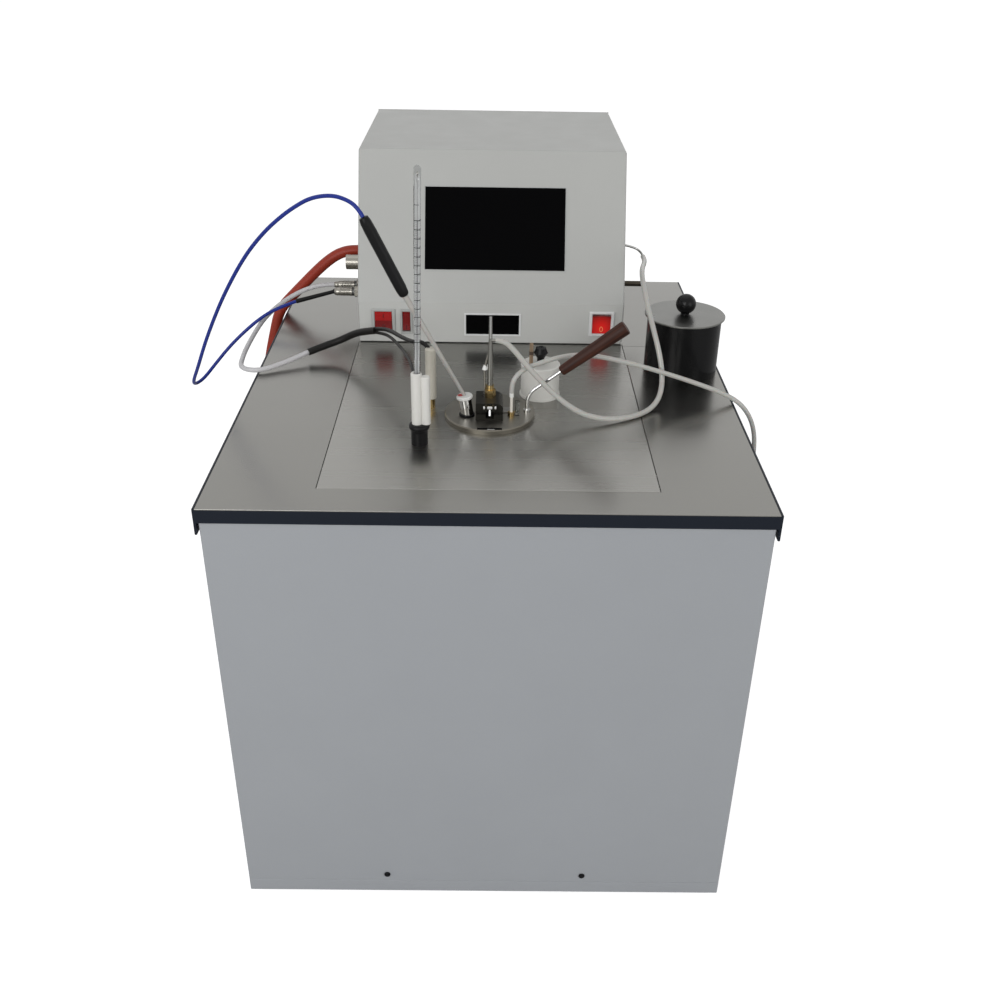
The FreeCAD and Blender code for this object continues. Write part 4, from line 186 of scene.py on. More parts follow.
def linear(red, green, blue):
    """A colour of 0 to 255 as Blender's linear one."""
    parts = []
    for number in (red, green, blue):
        share = number / 255
        parts.append(share / 12.92 if share <= 0.04045 else ((share + 0.055) / 1.055) ** 2.4)
    return (*parts, 1.0)


def scaled(colour, factor):
    return (*(min(1.0, part * factor) for part in colour[:3]), 1.0)


def noise(tree, scale, detail, stretch=(1, 1, 1)):
    """Noise in the piece's own coordinates."""
    place = tree.nodes.new("ShaderNodeTexCoord")
    mapping = tree.nodes.new("ShaderNodeMapping")
    mapping.inputs["Scale"].default_value = stretch
    texture = tree.nodes.new("ShaderNodeTexNoise")
    texture.inputs["Scale"].default_value = scale
    texture.inputs["Detail"].default_value = detail
    tree.links.new(place.outputs["Object"], mapping.inputs["Vector"])
    tree.links.new(mapping.outputs["Vector"], texture.inputs["Vector"])
    return texture.outputs["Fac"]


def spread(tree, value, low, high, start=0.3, end=0.7):
    """Carries a value between start and end over to one between low and high."""
    node = tree.nodes.new("ShaderNodeMapRange")
    node.inputs["From Min"].default_value = start
    node.inputs["From Max"].default_value = end
    node.inputs["To Min"].default_value = low
    node.inputs["To Max"].default_value = high
    tree.links.new(value, node.inputs["Value"])
    return node.outputs["Result"]


def blended(tree, factor, low, high):
    """Colour between low and high by factor; each may be a colour or a socket."""
    node = tree.nodes.new("ShaderNodeMix")
    node.data_type = "RGBA"
    tree.links.new(factor, node.inputs[0])
    for socket, value in ((node.inputs[6], low), (node.inputs[7], high)):
        if isinstance(value, bpy.types.NodeSocket):
            tree.links.new(value, socket)
        else:
            socket.default_value = value
    return node.outputs[2]


def bumped(tree, height, depth):
    """Normal of a surface with relief of this depth."""
    node = tree.nodes.new("ShaderNodeBump")
    node.inputs["Strength"].default_value = 1.0
    node.inputs["Distance"].default_value = depth * MM
    tree.links.new(height, node.inputs["Height"])
    return node.outputs["Normal"]


SMEARS_PER_PATCH = 2.7


def finish(name, colour, rough, drift=0.05, patch=14.0, rough_drift=0.04, grain=1200.0, depth=0.01,
           stretch=(1, 1, 1), **sockets):
    """Colour and gloss that drift a little over the surface, with a fine grain in relief."""
    material = bpy.data.materials.new(name)
    material.use_nodes = True
    tree = material.node_tree
    shader = tree.nodes["Principled BSDF"]
    for socket, value in sockets.items():
        shader.inputs[socket.replace("_", " ")].default_value = value
    base = linear(*colour)
    slow = spread(tree, noise(tree, patch, 4.0), 0, 1)
    fine = noise(tree, grain, 2.0, stretch)
    darker = scaled(base, 1 - drift)
    lighter = scaled(base, 1 + drift)
    tone = blended(tree, slow, darker, lighter)
    speck = blended(tree, spread(tree, fine, 0, 1), darker, lighter)
    both = tree.nodes.new("ShaderNodeMix")
    both.data_type = "RGBA"
    both.inputs[0].default_value = 0.5
    tree.links.new(tone, both.inputs[6])
    tree.links.new(speck, both.inputs[7])
    tree.links.new(both.outputs[2], shader.inputs["Base Color"])
    smears = noise(tree, patch * SMEARS_PER_PATCH, 3.0, stretch)
    gloss = spread(tree, smears, rough - rough_drift, rough + rough_drift)
    tree.links.new(gloss, shader.inputs["Roughness"])
    tree.links.new(bumped(tree, fine, depth), shader.inputs["Normal"])
    return material


def metal(name, colour, rough, **rest):
    return finish(name, colour, rough, Metallic=1.0, **rest)


def plastic(name, colour, rough=0.38, **rest):
    return finish(name, colour, rough, **rest)


def dark(name, colour, rough, **rest):
    """Dark plastic, rubber or paint, with little shine."""
    return finish(name, colour, rough, Specular_IOR_Level=0.16, **rest)


def glass(name, colour, rough, bending, coat):
    return finish(name, colour, rough, drift=0.01, rough_drift=0.015, depth=0.001,
                  Transmission_Weight=1.0, IOR=bending, Coat_Weight=coat)


FIBRE_LENGTH = 22


def wood(name, deep, light, rough, rings):
    """Fibres along Z between two colours."""
    stretch = (rings, rings, rings / FIBRE_LENGTH)
    material = bpy.data.materials.new(name)
    material.use_nodes = True
    tree = material.node_tree
    shader = tree.nodes["Principled BSDF"]
    fibre = noise(tree, 1.0, 6.0, stretch)
    pores = noise(tree, 4.0, 3.0, stretch)
    colour = blended(tree, spread(tree, fibre, 0, 1, 0.35, 0.65), linear(*deep), linear(*light))
    pore = linear(*[part * 0.5 for part in deep])
    flecked = blended(tree, spread(tree, pores, 0, 0.5, 0.55, 0.75), colour, pore)
    tree.links.new(flecked, shader.inputs["Base Color"])
    shader.inputs["Specular IOR Level"].default_value = 0.2
    tree.links.new(spread(tree, fibre, rough - 0.06, rough + 0.08), shader.inputs["Roughness"])
    tree.links.new(bumped(tree, pores, 0.04), shader.inputs["Normal"])
    return material


def lit(name, colour, glow, middle, reach, strength):
    """Plastic with a lamp behind it, brightest at its middle."""
    material = plastic(name, colour, 0.3)
    tree = material.node_tree
    shader = tree.nodes["Principled BSDF"]
    place = tree.nodes.new("ShaderNodeTexCoord")
    away = tree.nodes.new("ShaderNodeVectorMath")
    away.operation = "DISTANCE"
    away.inputs[1].default_value = Vector(middle) * MM
    tree.links.new(place.outputs["Object"], away.inputs[0])
    power = spread(tree, away.outputs["Value"], strength, 0.0, 0.0, reach * MM)
    shader.inputs["Emission Color"].default_value = linear(*glow)
    tree.links.new(power, shader.inputs["Emission Strength"])
    return material


BRUSHED = (0.03, 1, 1)
NEAR_AIR = 1.012
COMMON_GLASS = 1.47
MATERIALS = {
    "cabinet_paint": finish("cabinet_paint", (152, 155, 159), 0.42, drift=0.02, grain=900, depth=0.02),
    "box_paint": finish("box_paint", (181, 182, 179), 0.45, drift=0.015, grain=900, depth=0.02),
    "worktop_steel": metal("worktop_steel", (136, 135, 131), 0.25, drift=0.015, grain=2400, depth=0.0025,
                           stretch=BRUSHED, rough_drift=0.02),
    # Worktop steel made lighter for the access panel: painted light against the shade reflected in front of
    # the box.
    "panel_steel_brightened": metal("panel_steel_brightened", (150, 149, 145), 0.27, drift=0.015, grain=2400, depth=0.0025,
                         stretch=BRUSHED, rough_drift=0.02),
    "steel": metal("steel", (150, 148, 145), 0.32, stretch=(0.1, 1, 1)),
    "trim_black": dark("trim_black", (20, 26, 36), 0.4),
    "foot_rubber": dark("foot_rubber", (24, 24, 25), 0.75, depth=0.05),
    "screw_black": metal("screw_black", (30, 30, 32), 0.35),
    "foam": plastic("foam", (205, 196, 160), 0.9, drift=0.12, grain=500, depth=0.4),
    "copper": metal("copper", (190, 118, 84), 0.28, drift=0.12),
    "black_paint": dark("black_paint", (24, 24, 26), 0.35),
    "fin_aluminium": metal("fin_aluminium", (196, 198, 200), 0.38),
    "black_plastic": dark("black_plastic", (15, 15, 16), 0.4, depth=0.03),
    "grey_plastic": plastic("grey_plastic", (120, 122, 124), 0.45),
    "screen_glass": finish("screen_glass", (2, 2, 3), 0.08, rough_drift=0.02, depth=0.0005,
                           Specular_IOR_Level=0.03),
    "window_plastic": finish("window_plastic", (3, 3, 4), 0.14, rough_drift=0.03, depth=0.001,
                             Specular_IOR_Level=0.05),
    "white_plastic": plastic("white_plastic", (220, 219, 214), 0.36, drift=0.03),
    "red_lit": lit("red_lit", (150, 10, 9), (255, 26, 12), (142, 34.5, 553.6), 19, 0.5),
    "red_plastic": plastic("red_plastic", (118, 9, 10), 0.25, Specular_IOR_Level=0.2),
    # Lighter copy of the red plastic for the upper face of the left rocker: painted light on that face.
    "red_plastic_brightened": plastic("red_plastic_brightened", (168, 18, 18), 0.25, Specular_IOR_Level=0.2),
    "board_green": plastic("board_green", (28, 92, 58), 0.4),
    "nickel": metal("nickel", (142, 139, 132), 0.26, drift=0.08),
    "chrome": metal("chrome", (196, 196, 195), 0.1, drift=0.03, rough_drift=0.03, depth=0.002),
    "brass": metal("brass", (176, 152, 104), 0.24, drift=0.12, patch=60),
    "dark_bronze": metal("dark_bronze", (70, 65, 57), 0.4, drift=0.14, patch=40),
    "block_dark": dark("block_dark", (32, 31, 27), 0.3, drift=0.1, patch=40),
    "pale_polymer": plastic("pale_polymer", (172, 170, 166), 0.3, Subsurface_Weight=0.2,
                            Subsurface_Scale=0.004),
    "cap_white": plastic("cap_white", (192, 188, 176), 0.35),
    "stick_wood": wood("stick_wood", (118, 98, 80), (160, 140, 116), 0.55, 700),
    "grip_wood": wood("grip_wood", (40, 20, 14), (70, 39, 28), 0.5, 420),
    "ceramic_white": plastic("ceramic_white", (222, 218, 208), 0.3),
    "thermometer_glass": glass("thermometer_glass", (224, 225, 226), 0.03, NEAR_AIR, 0.5),
    "cover_black": dark("cover_black", (14, 14, 15), 0.24, rough_drift=0.06, depth=0.004),
    "blue_pvc": plastic("blue_pvc", (22, 44, 136), 0.4, Specular_IOR_Level=0.3),
    "white_pvc": plastic("white_pvc", (200, 199, 201), 0.42),
    "black_pvc": dark("black_pvc", (24, 23, 22), 0.42),
    "red_rubber": plastic("red_rubber", (150, 50, 32), 0.46, drift=0.08, grain=700, depth=0.06,
                          Specular_IOR_Level=0.3),
    "clear_tube": plastic("clear_tube", (180, 179, 174), 0.25, Subsurface_Weight=0.15,
                          Subsurface_Scale=0.003),
    "disc_metal": metal("disc_metal", (118, 118, 115), 0.3),
    "bright_white": plastic("bright_white", (228, 228, 225), 0.3),
    "rim_white": plastic("rim_white", (226, 227, 227), 0.32),
    # Box paint made lighter for the box's upright lower strip and lip: painted light, so the strip shows as
    # bright as the slope above it.
    "box_paint_brightened": finish("box_paint_brightened", (198, 199, 196), 0.45, drift=0.015, grain=900, depth=0.02),
    "riser_steel": metal("riser_steel", (132, 131, 127), 0.3),
    # Darker, duller copy of the lid steel for the lid's edge: the darker colour is painted shade.
    "lid_edge": metal("lid_edge", (116, 112, 103), 0.42),
    "black_band": dark("black_band", (16, 16, 17), 0.5),
    "rod_steel": metal("rod_steel", (170, 170, 168), 0.22),
    "red_mark": plastic("red_mark", (178, 44, 40), 0.4),
    "orange_mark": plastic("orange_mark", (255, 150, 100), 0.4),
    "dark_mark": dark("dark_mark", (44, 10, 10), 0.4),
    "ink": dark("ink", (20, 20, 22), 0.5),
    "opal": finish("opal", (192, 193, 192), 0.4),
    "capillary": dark("capillary", (60, 56, 58), 0.3),
    "lid_steel": metal("lid_steel", (132, 129, 122), 0.34, drift=0.08, patch=50),
    "guard_glass": glass("guard_glass", (225, 228, 226), 0.08, COMMON_GLASS, 0.0),
    "socket_grey": metal("socket_grey", (86, 86, 84), 0.4),
    "screen_rim": plastic("screen_rim", (176, 178, 176), 0.35),
    "stick_dark": plastic("stick_dark", (74, 58, 46), 0.6),
}


for cord in (blue_cord, white_cord, sleeve_cord, tall_cord, short_cord, hose_cord, gas_cord, igniter_cord):
    cord.data.materials.append(MATERIALS[cord["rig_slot"]])


# Pieces of the frame, with their own materials

SLOTS = {node: piece.data.materials[0].name.removeprefix("plain_")
         for node, piece in frame["nodes"].items()}


def dress(node, names, pick=None):
    """Materials on a CAD node; pick gives the index of each face by its middle."""
    piece = frame["nodes"][node]
    piece.data.materials.clear()
    for name in names:
        piece.data.materials.append(MATERIALS[name])
    if pick:
        for face in piece.data.polygons:
            face.material_index = int(pick(*(face.center / MM)))


def softened(node, width):
    """Rounds a CAD node's sharp edges a little."""
    piece = frame["nodes"][node]
    weld = piece.modifiers.new("weld", "WELD")
    weld.merge_threshold = 0.00001
    bevel = piece.modifiers.new("bevel", "BEVEL")
    bevel.width = width * MM
    bevel.segments = 2
    bevel.limit_method = "ANGLE"
    bevel.angle_limit = math.radians(40)
    flat = piece.modifiers.new("flat", "WEIGHTED_NORMAL")
    flat.weight = 100


WINDOW_FACE_Y = 38.2
WINDOW_X = 2
WINDOW_Z = 555.8
WINDOW_HALF_WIDTH = 33
WINDOW_HALF_HEIGHT = 12.5
RIGHT_SWITCH_X = 100
STRIP_BACK_Y = 39.2
STRIP_TOP_Z = 583.9
ROCKER_FOLD_Z = 562.5
COVER_DISC_Z = 599.05
SENSOR_FOOT_TOP_Z = 541.9
LID_TOP_Z = 532
LID_Y = -178.2
LID_EDGE_RADIUS = 49.6
LID_SLOT_Y = -223.7
LID_SLOT_HALF = (13.6, 2.6)
GUARD_X = 27.8
IGNITER_FOOT_TOP_Z = 539.2
IGNITER_CAP_Z = 556
PILOT_X = -2.5
PILOT_BEAD_Z = (585.4, 591)
PILOT_TOP_Z = 613
RISER_TIP_Z = 622
PORT_X = 230
PORT_TOP_Z = 450
PIPE_LOW_Z = 615
PIPE_NUT_X = 176.1
PROBE_SOCKET_X = -25
PROBE_SOCKET_Z = 535
PROBE_SOCKET_LEAN = math.radians(8)
PROBE_CAP_HEIGHT = 20.1
THIRD_SOCKET = (124, 609)
THIRD_SOCKET_BORE = 6.9
THIRD_SOCKET_END_X = -192.9
COLLAR_X = (-185.2, -182.1)
COLLAR_TOP_Z = 590
NECK = (58, -119)
NECK_SEAL_RADIUS = 20
NECK_SEAL_TOP_Z = 532.6


def on_window(x, y, z):
    beside = abs(x - WINDOW_X) < WINDOW_HALF_WIDTH
    return y > WINDOW_FACE_Y and beside and abs(z - WINDOW_Z) < WINDOW_HALF_HEIGHT


def on_lid(x, y, z):
    """0 the lid, 1 its edge in a darker copy of the lid steel, which is painted shade, 2 the slot near its
    front.
    """
    half_width, half_depth = LID_SLOT_HALF
    if z > LID_TOP_Z and abs(x) < half_width and abs(y - LID_SLOT_Y) < half_depth:
        return 2
    return math.hypot(x, y - LID_Y) > LID_EDGE_RADIUS


def on_igniter(x, y, z):
    """0 the stem, 1 its foot, 2 the glass guard, 3 the cap."""
    if x > GUARD_X:
        return 2
    if z < IGNITER_FOOT_TOP_Z:
        return 1
    return 3 if z > IGNITER_CAP_Z else 0


def on_riser(x, y, z):
    """0 the riser, 1 the pilot pipe, 2 the bead on it, 3 the riser's tip."""
    if x < PILOT_X:
        if PILOT_BEAD_Z[0] < z < PILOT_BEAD_Z[1]:
            return 2
        if z < PILOT_TOP_Z:
            return 1
    return 3 if z > RISER_TIP_Z else 0


def on_right_wall(x, y, z):
    """0 the nipple, 1 the bent pipe, 2 its nut, 3 the port on the cabinet."""
    if x > PORT_X or z < PORT_TOP_Z:
        return 3
    if z > PIPE_LOW_Z:
        return 1
    return 2 if x < PIPE_NUT_X else 0


def on_probe_socket(x, y, z):
    rise = (z - PROBE_SOCKET_Z) * math.cos(PROBE_SOCKET_LEAN)
    return rise - (x - PROBE_SOCKET_X) * math.sin(PROBE_SOCKET_LEAN) > PROBE_CAP_HEIGHT


def on_left_wall(x, y, z):
    """0 the sockets, 1 the bore of the empty one, 2 the collars of the other two."""
    if math.hypot(y - THIRD_SOCKET[0], z - THIRD_SOCKET[1]) < THIRD_SOCKET_BORE and x > THIRD_SOCKET_END_X:
        return 1
    return 2 if COLLAR_X[0] < x < COLLAR_X[1] and z < COLLAR_TOP_Z else 0


def on_neck_seal(x, y, z):
    return z < NECK_SEAL_TOP_Z and math.hypot(x - NECK[0], y - NECK[1]) < NECK_SEAL_RADIUS


for node, slot_name in SLOTS.items():
    dress(node, [slot_name])

# The access panel takes the lighter copy of the worktop steel: painted light.
dress("access_panel", ["panel_steel_brightened"])
dress("shutter_housing", ["block_dark"])
dress("display_window", ["rim_white", "window_plastic"], on_window)
dress("switch_bodies", ["screen_rim", "rim_white"], lambda x, y, z: x > RIGHT_SWITCH_X)
# The upright strip below the screen takes the lighter copy of the box paint: painted light.
dress("box_cover", ["box_paint", "box_paint_brightened"], lambda x, y, z: y < STRIP_BACK_Y and z < STRIP_TOP_Z)
# The left rocker's upper face takes the lighter red: painted light.
dress("left_rocker", ["red_plastic", "red_plastic_brightened"], lambda x, y, z: z > ROCKER_FOLD_Z)
dress("cover_body", ["cover_black", "disc_metal"], lambda x, y, z: z > COVER_DISC_Z)
dress("bath_sensor", ["cap_white", "brass"], lambda x, y, z: z < SENSOR_FOOT_TOP_Z)
dress("cup_lid", ["lid_steel", "lid_edge", "black_band"], on_lid)
dress("igniter", ["ceramic_white", "brass", "guard_glass", "bright_white"], on_igniter)
dress("gas_riser", ["riser_steel", "nickel", "bright_white", "rod_steel"], on_riser)
dress("right_sockets", ["dark_bronze", "rod_steel", "nickel", "black_plastic"], on_right_wall)
dress("probe_socket", ["chrome", "bright_white"], on_probe_socket)
dress("left_sockets", ["nickel", "black_band", "socket_grey"], on_left_wall)
dress("fill_neck", ["white_plastic", "black_band"], on_neck_seal)

for node, width in (("worktop", 0.5), ("access_panel", 0.4), ("worktop_trim", 0.6),
                    ("switch_bodies", 0.8), ("display_window", 0.4), ("main_rocker", 0.7),
                    ("left_rocker", 0.7), ("small_rocker", 0.6), ("shutter_housing", 0.4),
                    ("shutter_slide", 0.2), ("marker_stick", 0.3), ("mains_inlet", 0.8),
                    ("base_tray", 0.8), ("touch_screen", 0.2)):
    softened(node, width)


# Building pieces

def surface(node, start, direction):
    """First point and normal that a ray meets on a CAD node."""
    piece = frame["nodes"][node]
    tree = BVHTree.FromPolygons([vertex.co for vertex in piece.data.vertices],
                                [face.vertices for face in piece.data.polygons])
    point, normal, _, _ = tree.ray_cast(Vector(start) * MM, Vector(direction))
    return point / MM, normal


def shown(name, shape, names, slot, body=ROOT, stands_for=(), place=None, crisp=32):
    """Makes a piece from a bmesh in metres."""
    mesh = bpy.data.meshes.new(name)
    bmesh.ops.recalc_face_normals(shape, faces=shape.faces)
    shape.to_mesh(mesh)
    shape.free()
    for material in names:
        mesh.materials.append(MATERIALS[material])
    for face in mesh.polygons:
        face.use_smooth = True
    mesh.set_sharp_from_angle(angle=math.radians(crisp))
    piece = bpy.data.objects.new(name, mesh)
    bpy.context.scene.collection.objects.link(piece)
    if place:
        piece.matrix_world = place
    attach(piece, body)
    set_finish(piece, slot)
    if stands_for:
        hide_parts(*stands_for)
    return piece


def eased(profile, radius, steps):
    """Rounds the corners of a profile of (radius, height) pairs."""
    points = [Vector(pair) for pair in profile]
    out = [points[0]]
    for before, corner, after in zip(points, points[1:], points[2:]):
        reach = min(radius, (before - corner).length * 0.45, (after - corner).length * 0.45)
        start = corner + (before - corner).normalized() * reach
        end = corner + (after - corner).normalized() * reach
        for i in range(steps + 1):
            t = i / steps
            out.append(start * (1 - t) ** 2 + corner * 2 * t * (1 - t) + end * t * t)
    out.append(points[-1])
    return [tuple(point) for point in out]


def joined_rings(shape, rings, index):
    """Faces between rings of points; a ring may be a single point."""
    for low, high in zip(rings, rings[1:]):
        sides = max(len(low), len(high))
        for i in range(sides):
            j = (i + 1) % sides
            corners = [low[i % len(low)], low[j % len(low)], high[j % len(high)], high[i % len(high)]]
            corners = list(dict.fromkeys(corners))
            if len(corners) > 2:
                shape.faces.new(corners).material_index = index


def turn(shape, profile, start=(0, 0, 0), direction=(0, 0, 1), index=0, sides=48):
    """Turned solid from (radius, height) pairs along a direction."""
    axis = Vector(direction).normalized()
    side = axis.orthogonal().normalized()
    other = axis.cross(side)
    rings = []
    for radius, height in profile:
        centre = Vector(start) + axis * height
        count = sides if radius > 0 else 1
        ring = []
        for i in range(count):
            angle = 2 * math.pi * i / sides
            around = side * math.cos(angle) + other * math.sin(angle)
            ring.append(shape.verts.new((centre + around * radius) * MM))
        rings.append(ring)
    joined_rings(shape, rings, index)


def sweep(shape, line, radius, sides=32):
    """Round bar along a line of points, closed at both ends."""
    points = [Vector(point) for point in line]
    side = (points[1] - points[0]).orthogonal().normalized()
    rings = []
    for i, point in enumerate(points):
        along = (points[min(i + 1, len(points) - 1)] - points[max(i - 1, 0)]).normalized()
        side = (side - along * side.dot(along)).normalized()
        other = along.cross(side)
        ring = []
        for k in range(sides):
            angle = 2 * math.pi * k / sides
            around = side * math.cos(angle) + other * math.sin(angle)
            ring.append(shape.verts.new((point + around * radius) * MM))
        rings.append(ring)
    joined_rings(shape, rings, 0)
    for ring in (rings[0], rings[-1]):
        shape.faces.new(ring)


def block(shape, low, high, edge, index=0, place=None):
    """Box with rounded edges."""
    old = set(shape.faces)
    corners = bmesh.ops.create_cube(shape, size=1.0)["verts"]
    for vertex in corners:
        spot = Vector([(a + b) / 2 + c * (b - a) for a, b, c in zip(low, high, vertex.co)]) * MM
        vertex.co = place @ spot if place else spot
    edges = list(dict.fromkeys(link for vertex in corners for link in vertex.link_edges))
    bmesh.ops.bevel(shape, geom=edges, offset=edge * MM, segments=2, affect="EDGES", profile=0.5)
    for face in shape.faces:
        if face not in old:
            face.material_index = index


def facing(point, normal, up=(0, 0, 1)):
    """Matrix in metres whose Z is a surface's normal and whose Y points up on it."""
    out = Vector(normal).normalized()
    rise = Vector(up) - out * Vector(up).dot(out)
    rise.normalize()
    right = rise.cross(out)
    turned = Matrix((right, rise, out)).transposed().to_4x4()
    return Matrix.Translation(Vector(point) * MM) @ turned


def screw_head(shape, place, out, radius, height):
    """Pan head with a cross in a darker material: painted shade standing for the crossed recess."""
    profile = [(0, 0), (radius, 0), (radius, height * 0.45), (radius * 0.86, height * 0.8),
               (radius * 0.45, height * 0.97), (0, height)]
    turn(shape, eased(profile, radius * 0.2, 2), place, out, 0, 32)
    spin = facing(place, out, (0.3, 0.3, 1))
    reach = radius * 0.55
    thin = radius * 0.12
    low = height * 0.7
    # The cross is two blocks in the second, darker material: painted shade for the recess.
    block(shape, (-reach, -thin, low), (reach, thin, height), thin * 0.3, 1, spin)
    block(shape, (-thin, -reach, low), (thin, reach, height), thin * 0.3, 1, spin)


# Fittings on the walls of the box and the cabinet

PLUG_X = -185
FRONT_PLUG_Y = 110
BACK_PLUG_Y = 138
SOCKET_Z = 573
PLUG_LENGTH = 24
PLUG_RADIUS = 5.8
RIBS = 6
RIB_START = 3.8
RIB_STEP = 1.9
RIB_DEPTH = 0.55
ELBOW_WALL_X = -278
ELBOW_X = -298
ELBOW_Y = 150
ELBOW_Z = 313
ELBOW_BEND = 9
BOX_HALF_WIDTH = 170
LEFT = (-1, 0, 0)
BACK = (0, 1, 0)


def plug(shape, y):
    """Ribbed cable plug on the left wall."""
    start = (PLUG_X, y, SOCKET_Z)
    ribs = [(0, 0), (PLUG_RADIUS - 0.6, 0), (PLUG_RADIUS, 0.6), (PLUG_RADIUS, 3.4)]
    for i in range(RIBS):
        low = RIB_START + i * RIB_STEP
        groove = PLUG_RADIUS - RIB_DEPTH
        ribs += [(groove, low), (groove, low + 0.7), (PLUG_RADIUS, low + 1.0), (PLUG_RADIUS, low + 1.6)]
    ribs += [(PLUG_RADIUS - 0.3, 15.6), (0, 15.6)]
    turn(shape, ribs, start, LEFT)
    tail = [(0, 15.4), (PLUG_RADIUS - 0.7, 15.4), (PLUG_RADIUS - 0.4, 16.4), (PLUG_RADIUS - 0.4, 20.5),
            (PLUG_RADIUS - 1.4, PLUG_LENGTH), (0, PLUG_LENGTH)]
    turn(shape, eased(tail, 0.5, 2), start, LEFT)


def add_plugs():
    """Plug of the blue cable with its long boot, and plug of the white one with its short one."""
    shape = bmesh.new()
    plug(shape, FRONT_PLUG_Y)
    start = Vector((PLUG_X - PLUG_LENGTH, FRONT_PLUG_Y, SOCKET_Z))
    end = Vector(BLUE_CABLE[-1])
    length = (end - start).length
    boot = [(0, -2), (3.4, -2), (3.4, 0.6), (2.5, 2), (2.5, 6), (2.9, length - 8), (3.0, length - 1),
            (2.6, length), (0, length)]
    turn(shape, eased(boot, 0.6, 3), start, end - start, 1)
    shown("front_plug", shape, ["nickel", "black_plastic"], "nickel", stands_for=["cord_fittings"])
    shape = bmesh.new()
    plug(shape, BACK_PLUG_Y)
    relief = [(0, 23), (4.3, 23), (4.2, 25), (3.5, 28), (0, 28)]
    turn(shape, eased(relief, 0.5, 2), (PLUG_X, BACK_PLUG_Y, SOCKET_Z), LEFT)
    shown("back_plug", shape, ["nickel"], "nickel", stands_for=["cord_fittings"])


def add_elbow():
    """Elbow on the cabinet's left side that the hose comes down to."""
    shape = bmesh.new()
    flange = [(0, 0), (12, 0), (12, 2.8), (10.6, 4.2), (0, 4.2)]
    turn(shape, eased(flange, 0.6, 3), (ELBOW_WALL_X, ELBOW_Y, ELBOW_Z), LEFT)
    line = [(ELBOW_WALL_X - 1, ELBOW_Y, ELBOW_Z)]
    steps = 12
    for i in range(steps + 1):
        angle = math.radians(90 * i / steps)
        across = ELBOW_BEND - ELBOW_BEND * math.sin(angle)
        up = ELBOW_BEND - ELBOW_BEND * math.cos(angle)
        line.append((ELBOW_X + across, ELBOW_Y, ELBOW_Z + up))
    line.append((ELBOW_X, ELBOW_Y, ELBOW_Z + 21))
    sweep(shape, line, 6)
    collar = [(0, 0), (9, 0), (9, 5), (0, 5)]
    turn(shape, eased(collar, 0.9, 3), (ELBOW_X, ELBOW_Y, ELBOW_Z + 19), sides=6)
    shown("hose_elbow", shape, ["nickel"], "nickel", stands_for=["cord_fittings"])


def add_third_socket_insert():
    """Insulator with four pins in the empty socket."""
    shape = bmesh.new()
    y, z = THIRD_SOCKET
    insert = [(0, 0), (6.3, 0), (6.3, 3), (5.4, 3.6), (0, 3.6)]
    turn(shape, eased(insert, 0.4, 2), (-179, y, z), LEFT)
    pin = [(0, 0), (0.8, 0), (0.8, 5), (0.4, 5.6), (0, 5.6)]
    ring = 3.1
    for i in range(4):
        angle = math.radians(45 + 90 * i)
        spot = (-182, y + ring * math.cos(angle), z + ring * math.sin(angle))
        turn(shape, pin, spot, LEFT, 1, 16)
    shown("socket_pins", shape, ["black_band", "brass"], "nickel")


def add_screws():
    """Screws of the front, the rear panel and the box."""
    shape = bmesh.new()
    for x in (-114.5, 114.5):
        screw_head(shape, (x, -393, 33), (0, -1, 0), 3.6, 2.1)
    shown("front_screws", shape, ["screw_black", "black_band"], "screw_black", stands_for=["panel_screws"])
    shape = bmesh.new()
    for x, z in ((-266, 60), (-266, 290), (-266, 515), (266, 60), (266, 290), (266, 515), (0, 60), (0, 515)):
        screw_head(shape, (x, 296, z), BACK, 3.4, 1.9)
    for x in (-161, 161):
        for z in (543, 650, 747):
            screw_head(shape, (x, 395, z), BACK, 2.9, 1.6)
    for side in (-1, 1):
        for y in (60, 225, 380):
            screw_head(shape, (BOX_HALF_WIDTH * side, y, 541), (side, 0, 0), 2.9, 1.6)
    shown("case_screws", shape, ["screw_black", "black_band"], "screw_black")


add_plugs()
add_elbow()
add_third_socket_insert()
add_screws()


# Screen and switches

LEAN = math.radians(26.8)
SLOPE_START = Vector((0, 39, 584))
SLOPE_UP = Vector((0, math.sin(LEAN), math.cos(LEAN)))
SLOPE_OUT = Vector((0, -math.cos(LEAN), math.sin(LEAN)))
SCREEN_LEFT = -85.0
SCREEN_RIGHT = 93.0
SCREEN_LOW = 42.0
SCREEN_HIGH = 146.0
SCREEN_EDGE = 1.1
MARK_DEPTH = -0.1
MARK_HEIGHT = 0.12


def add_screen_edge():
    """Thin pale frame round the screen."""
    place = facing(SLOPE_START, SLOPE_OUT, SLOPE_UP)
    left = SCREEN_LEFT - SCREEN_EDGE
    right = SCREEN_RIGHT + SCREEN_EDGE
    shape = bmesh.new()
    for a, b, c, d in ((left, SCREEN_LOW - SCREEN_EDGE, right, SCREEN_LOW),
                       (left, SCREEN_HIGH, right, SCREEN_HIGH + SCREEN_EDGE),
                       (left, SCREEN_LOW, SCREEN_LEFT, SCREEN_HIGH),
                       (SCREEN_RIGHT, SCREEN_LOW, right, SCREEN_HIGH)):
        block(shape, (a, b, -0.3), (c, d, 0.55), 0.15, 0, place)
    shown("screen_edge", shape, ["screen_rim"], "screen_glass")


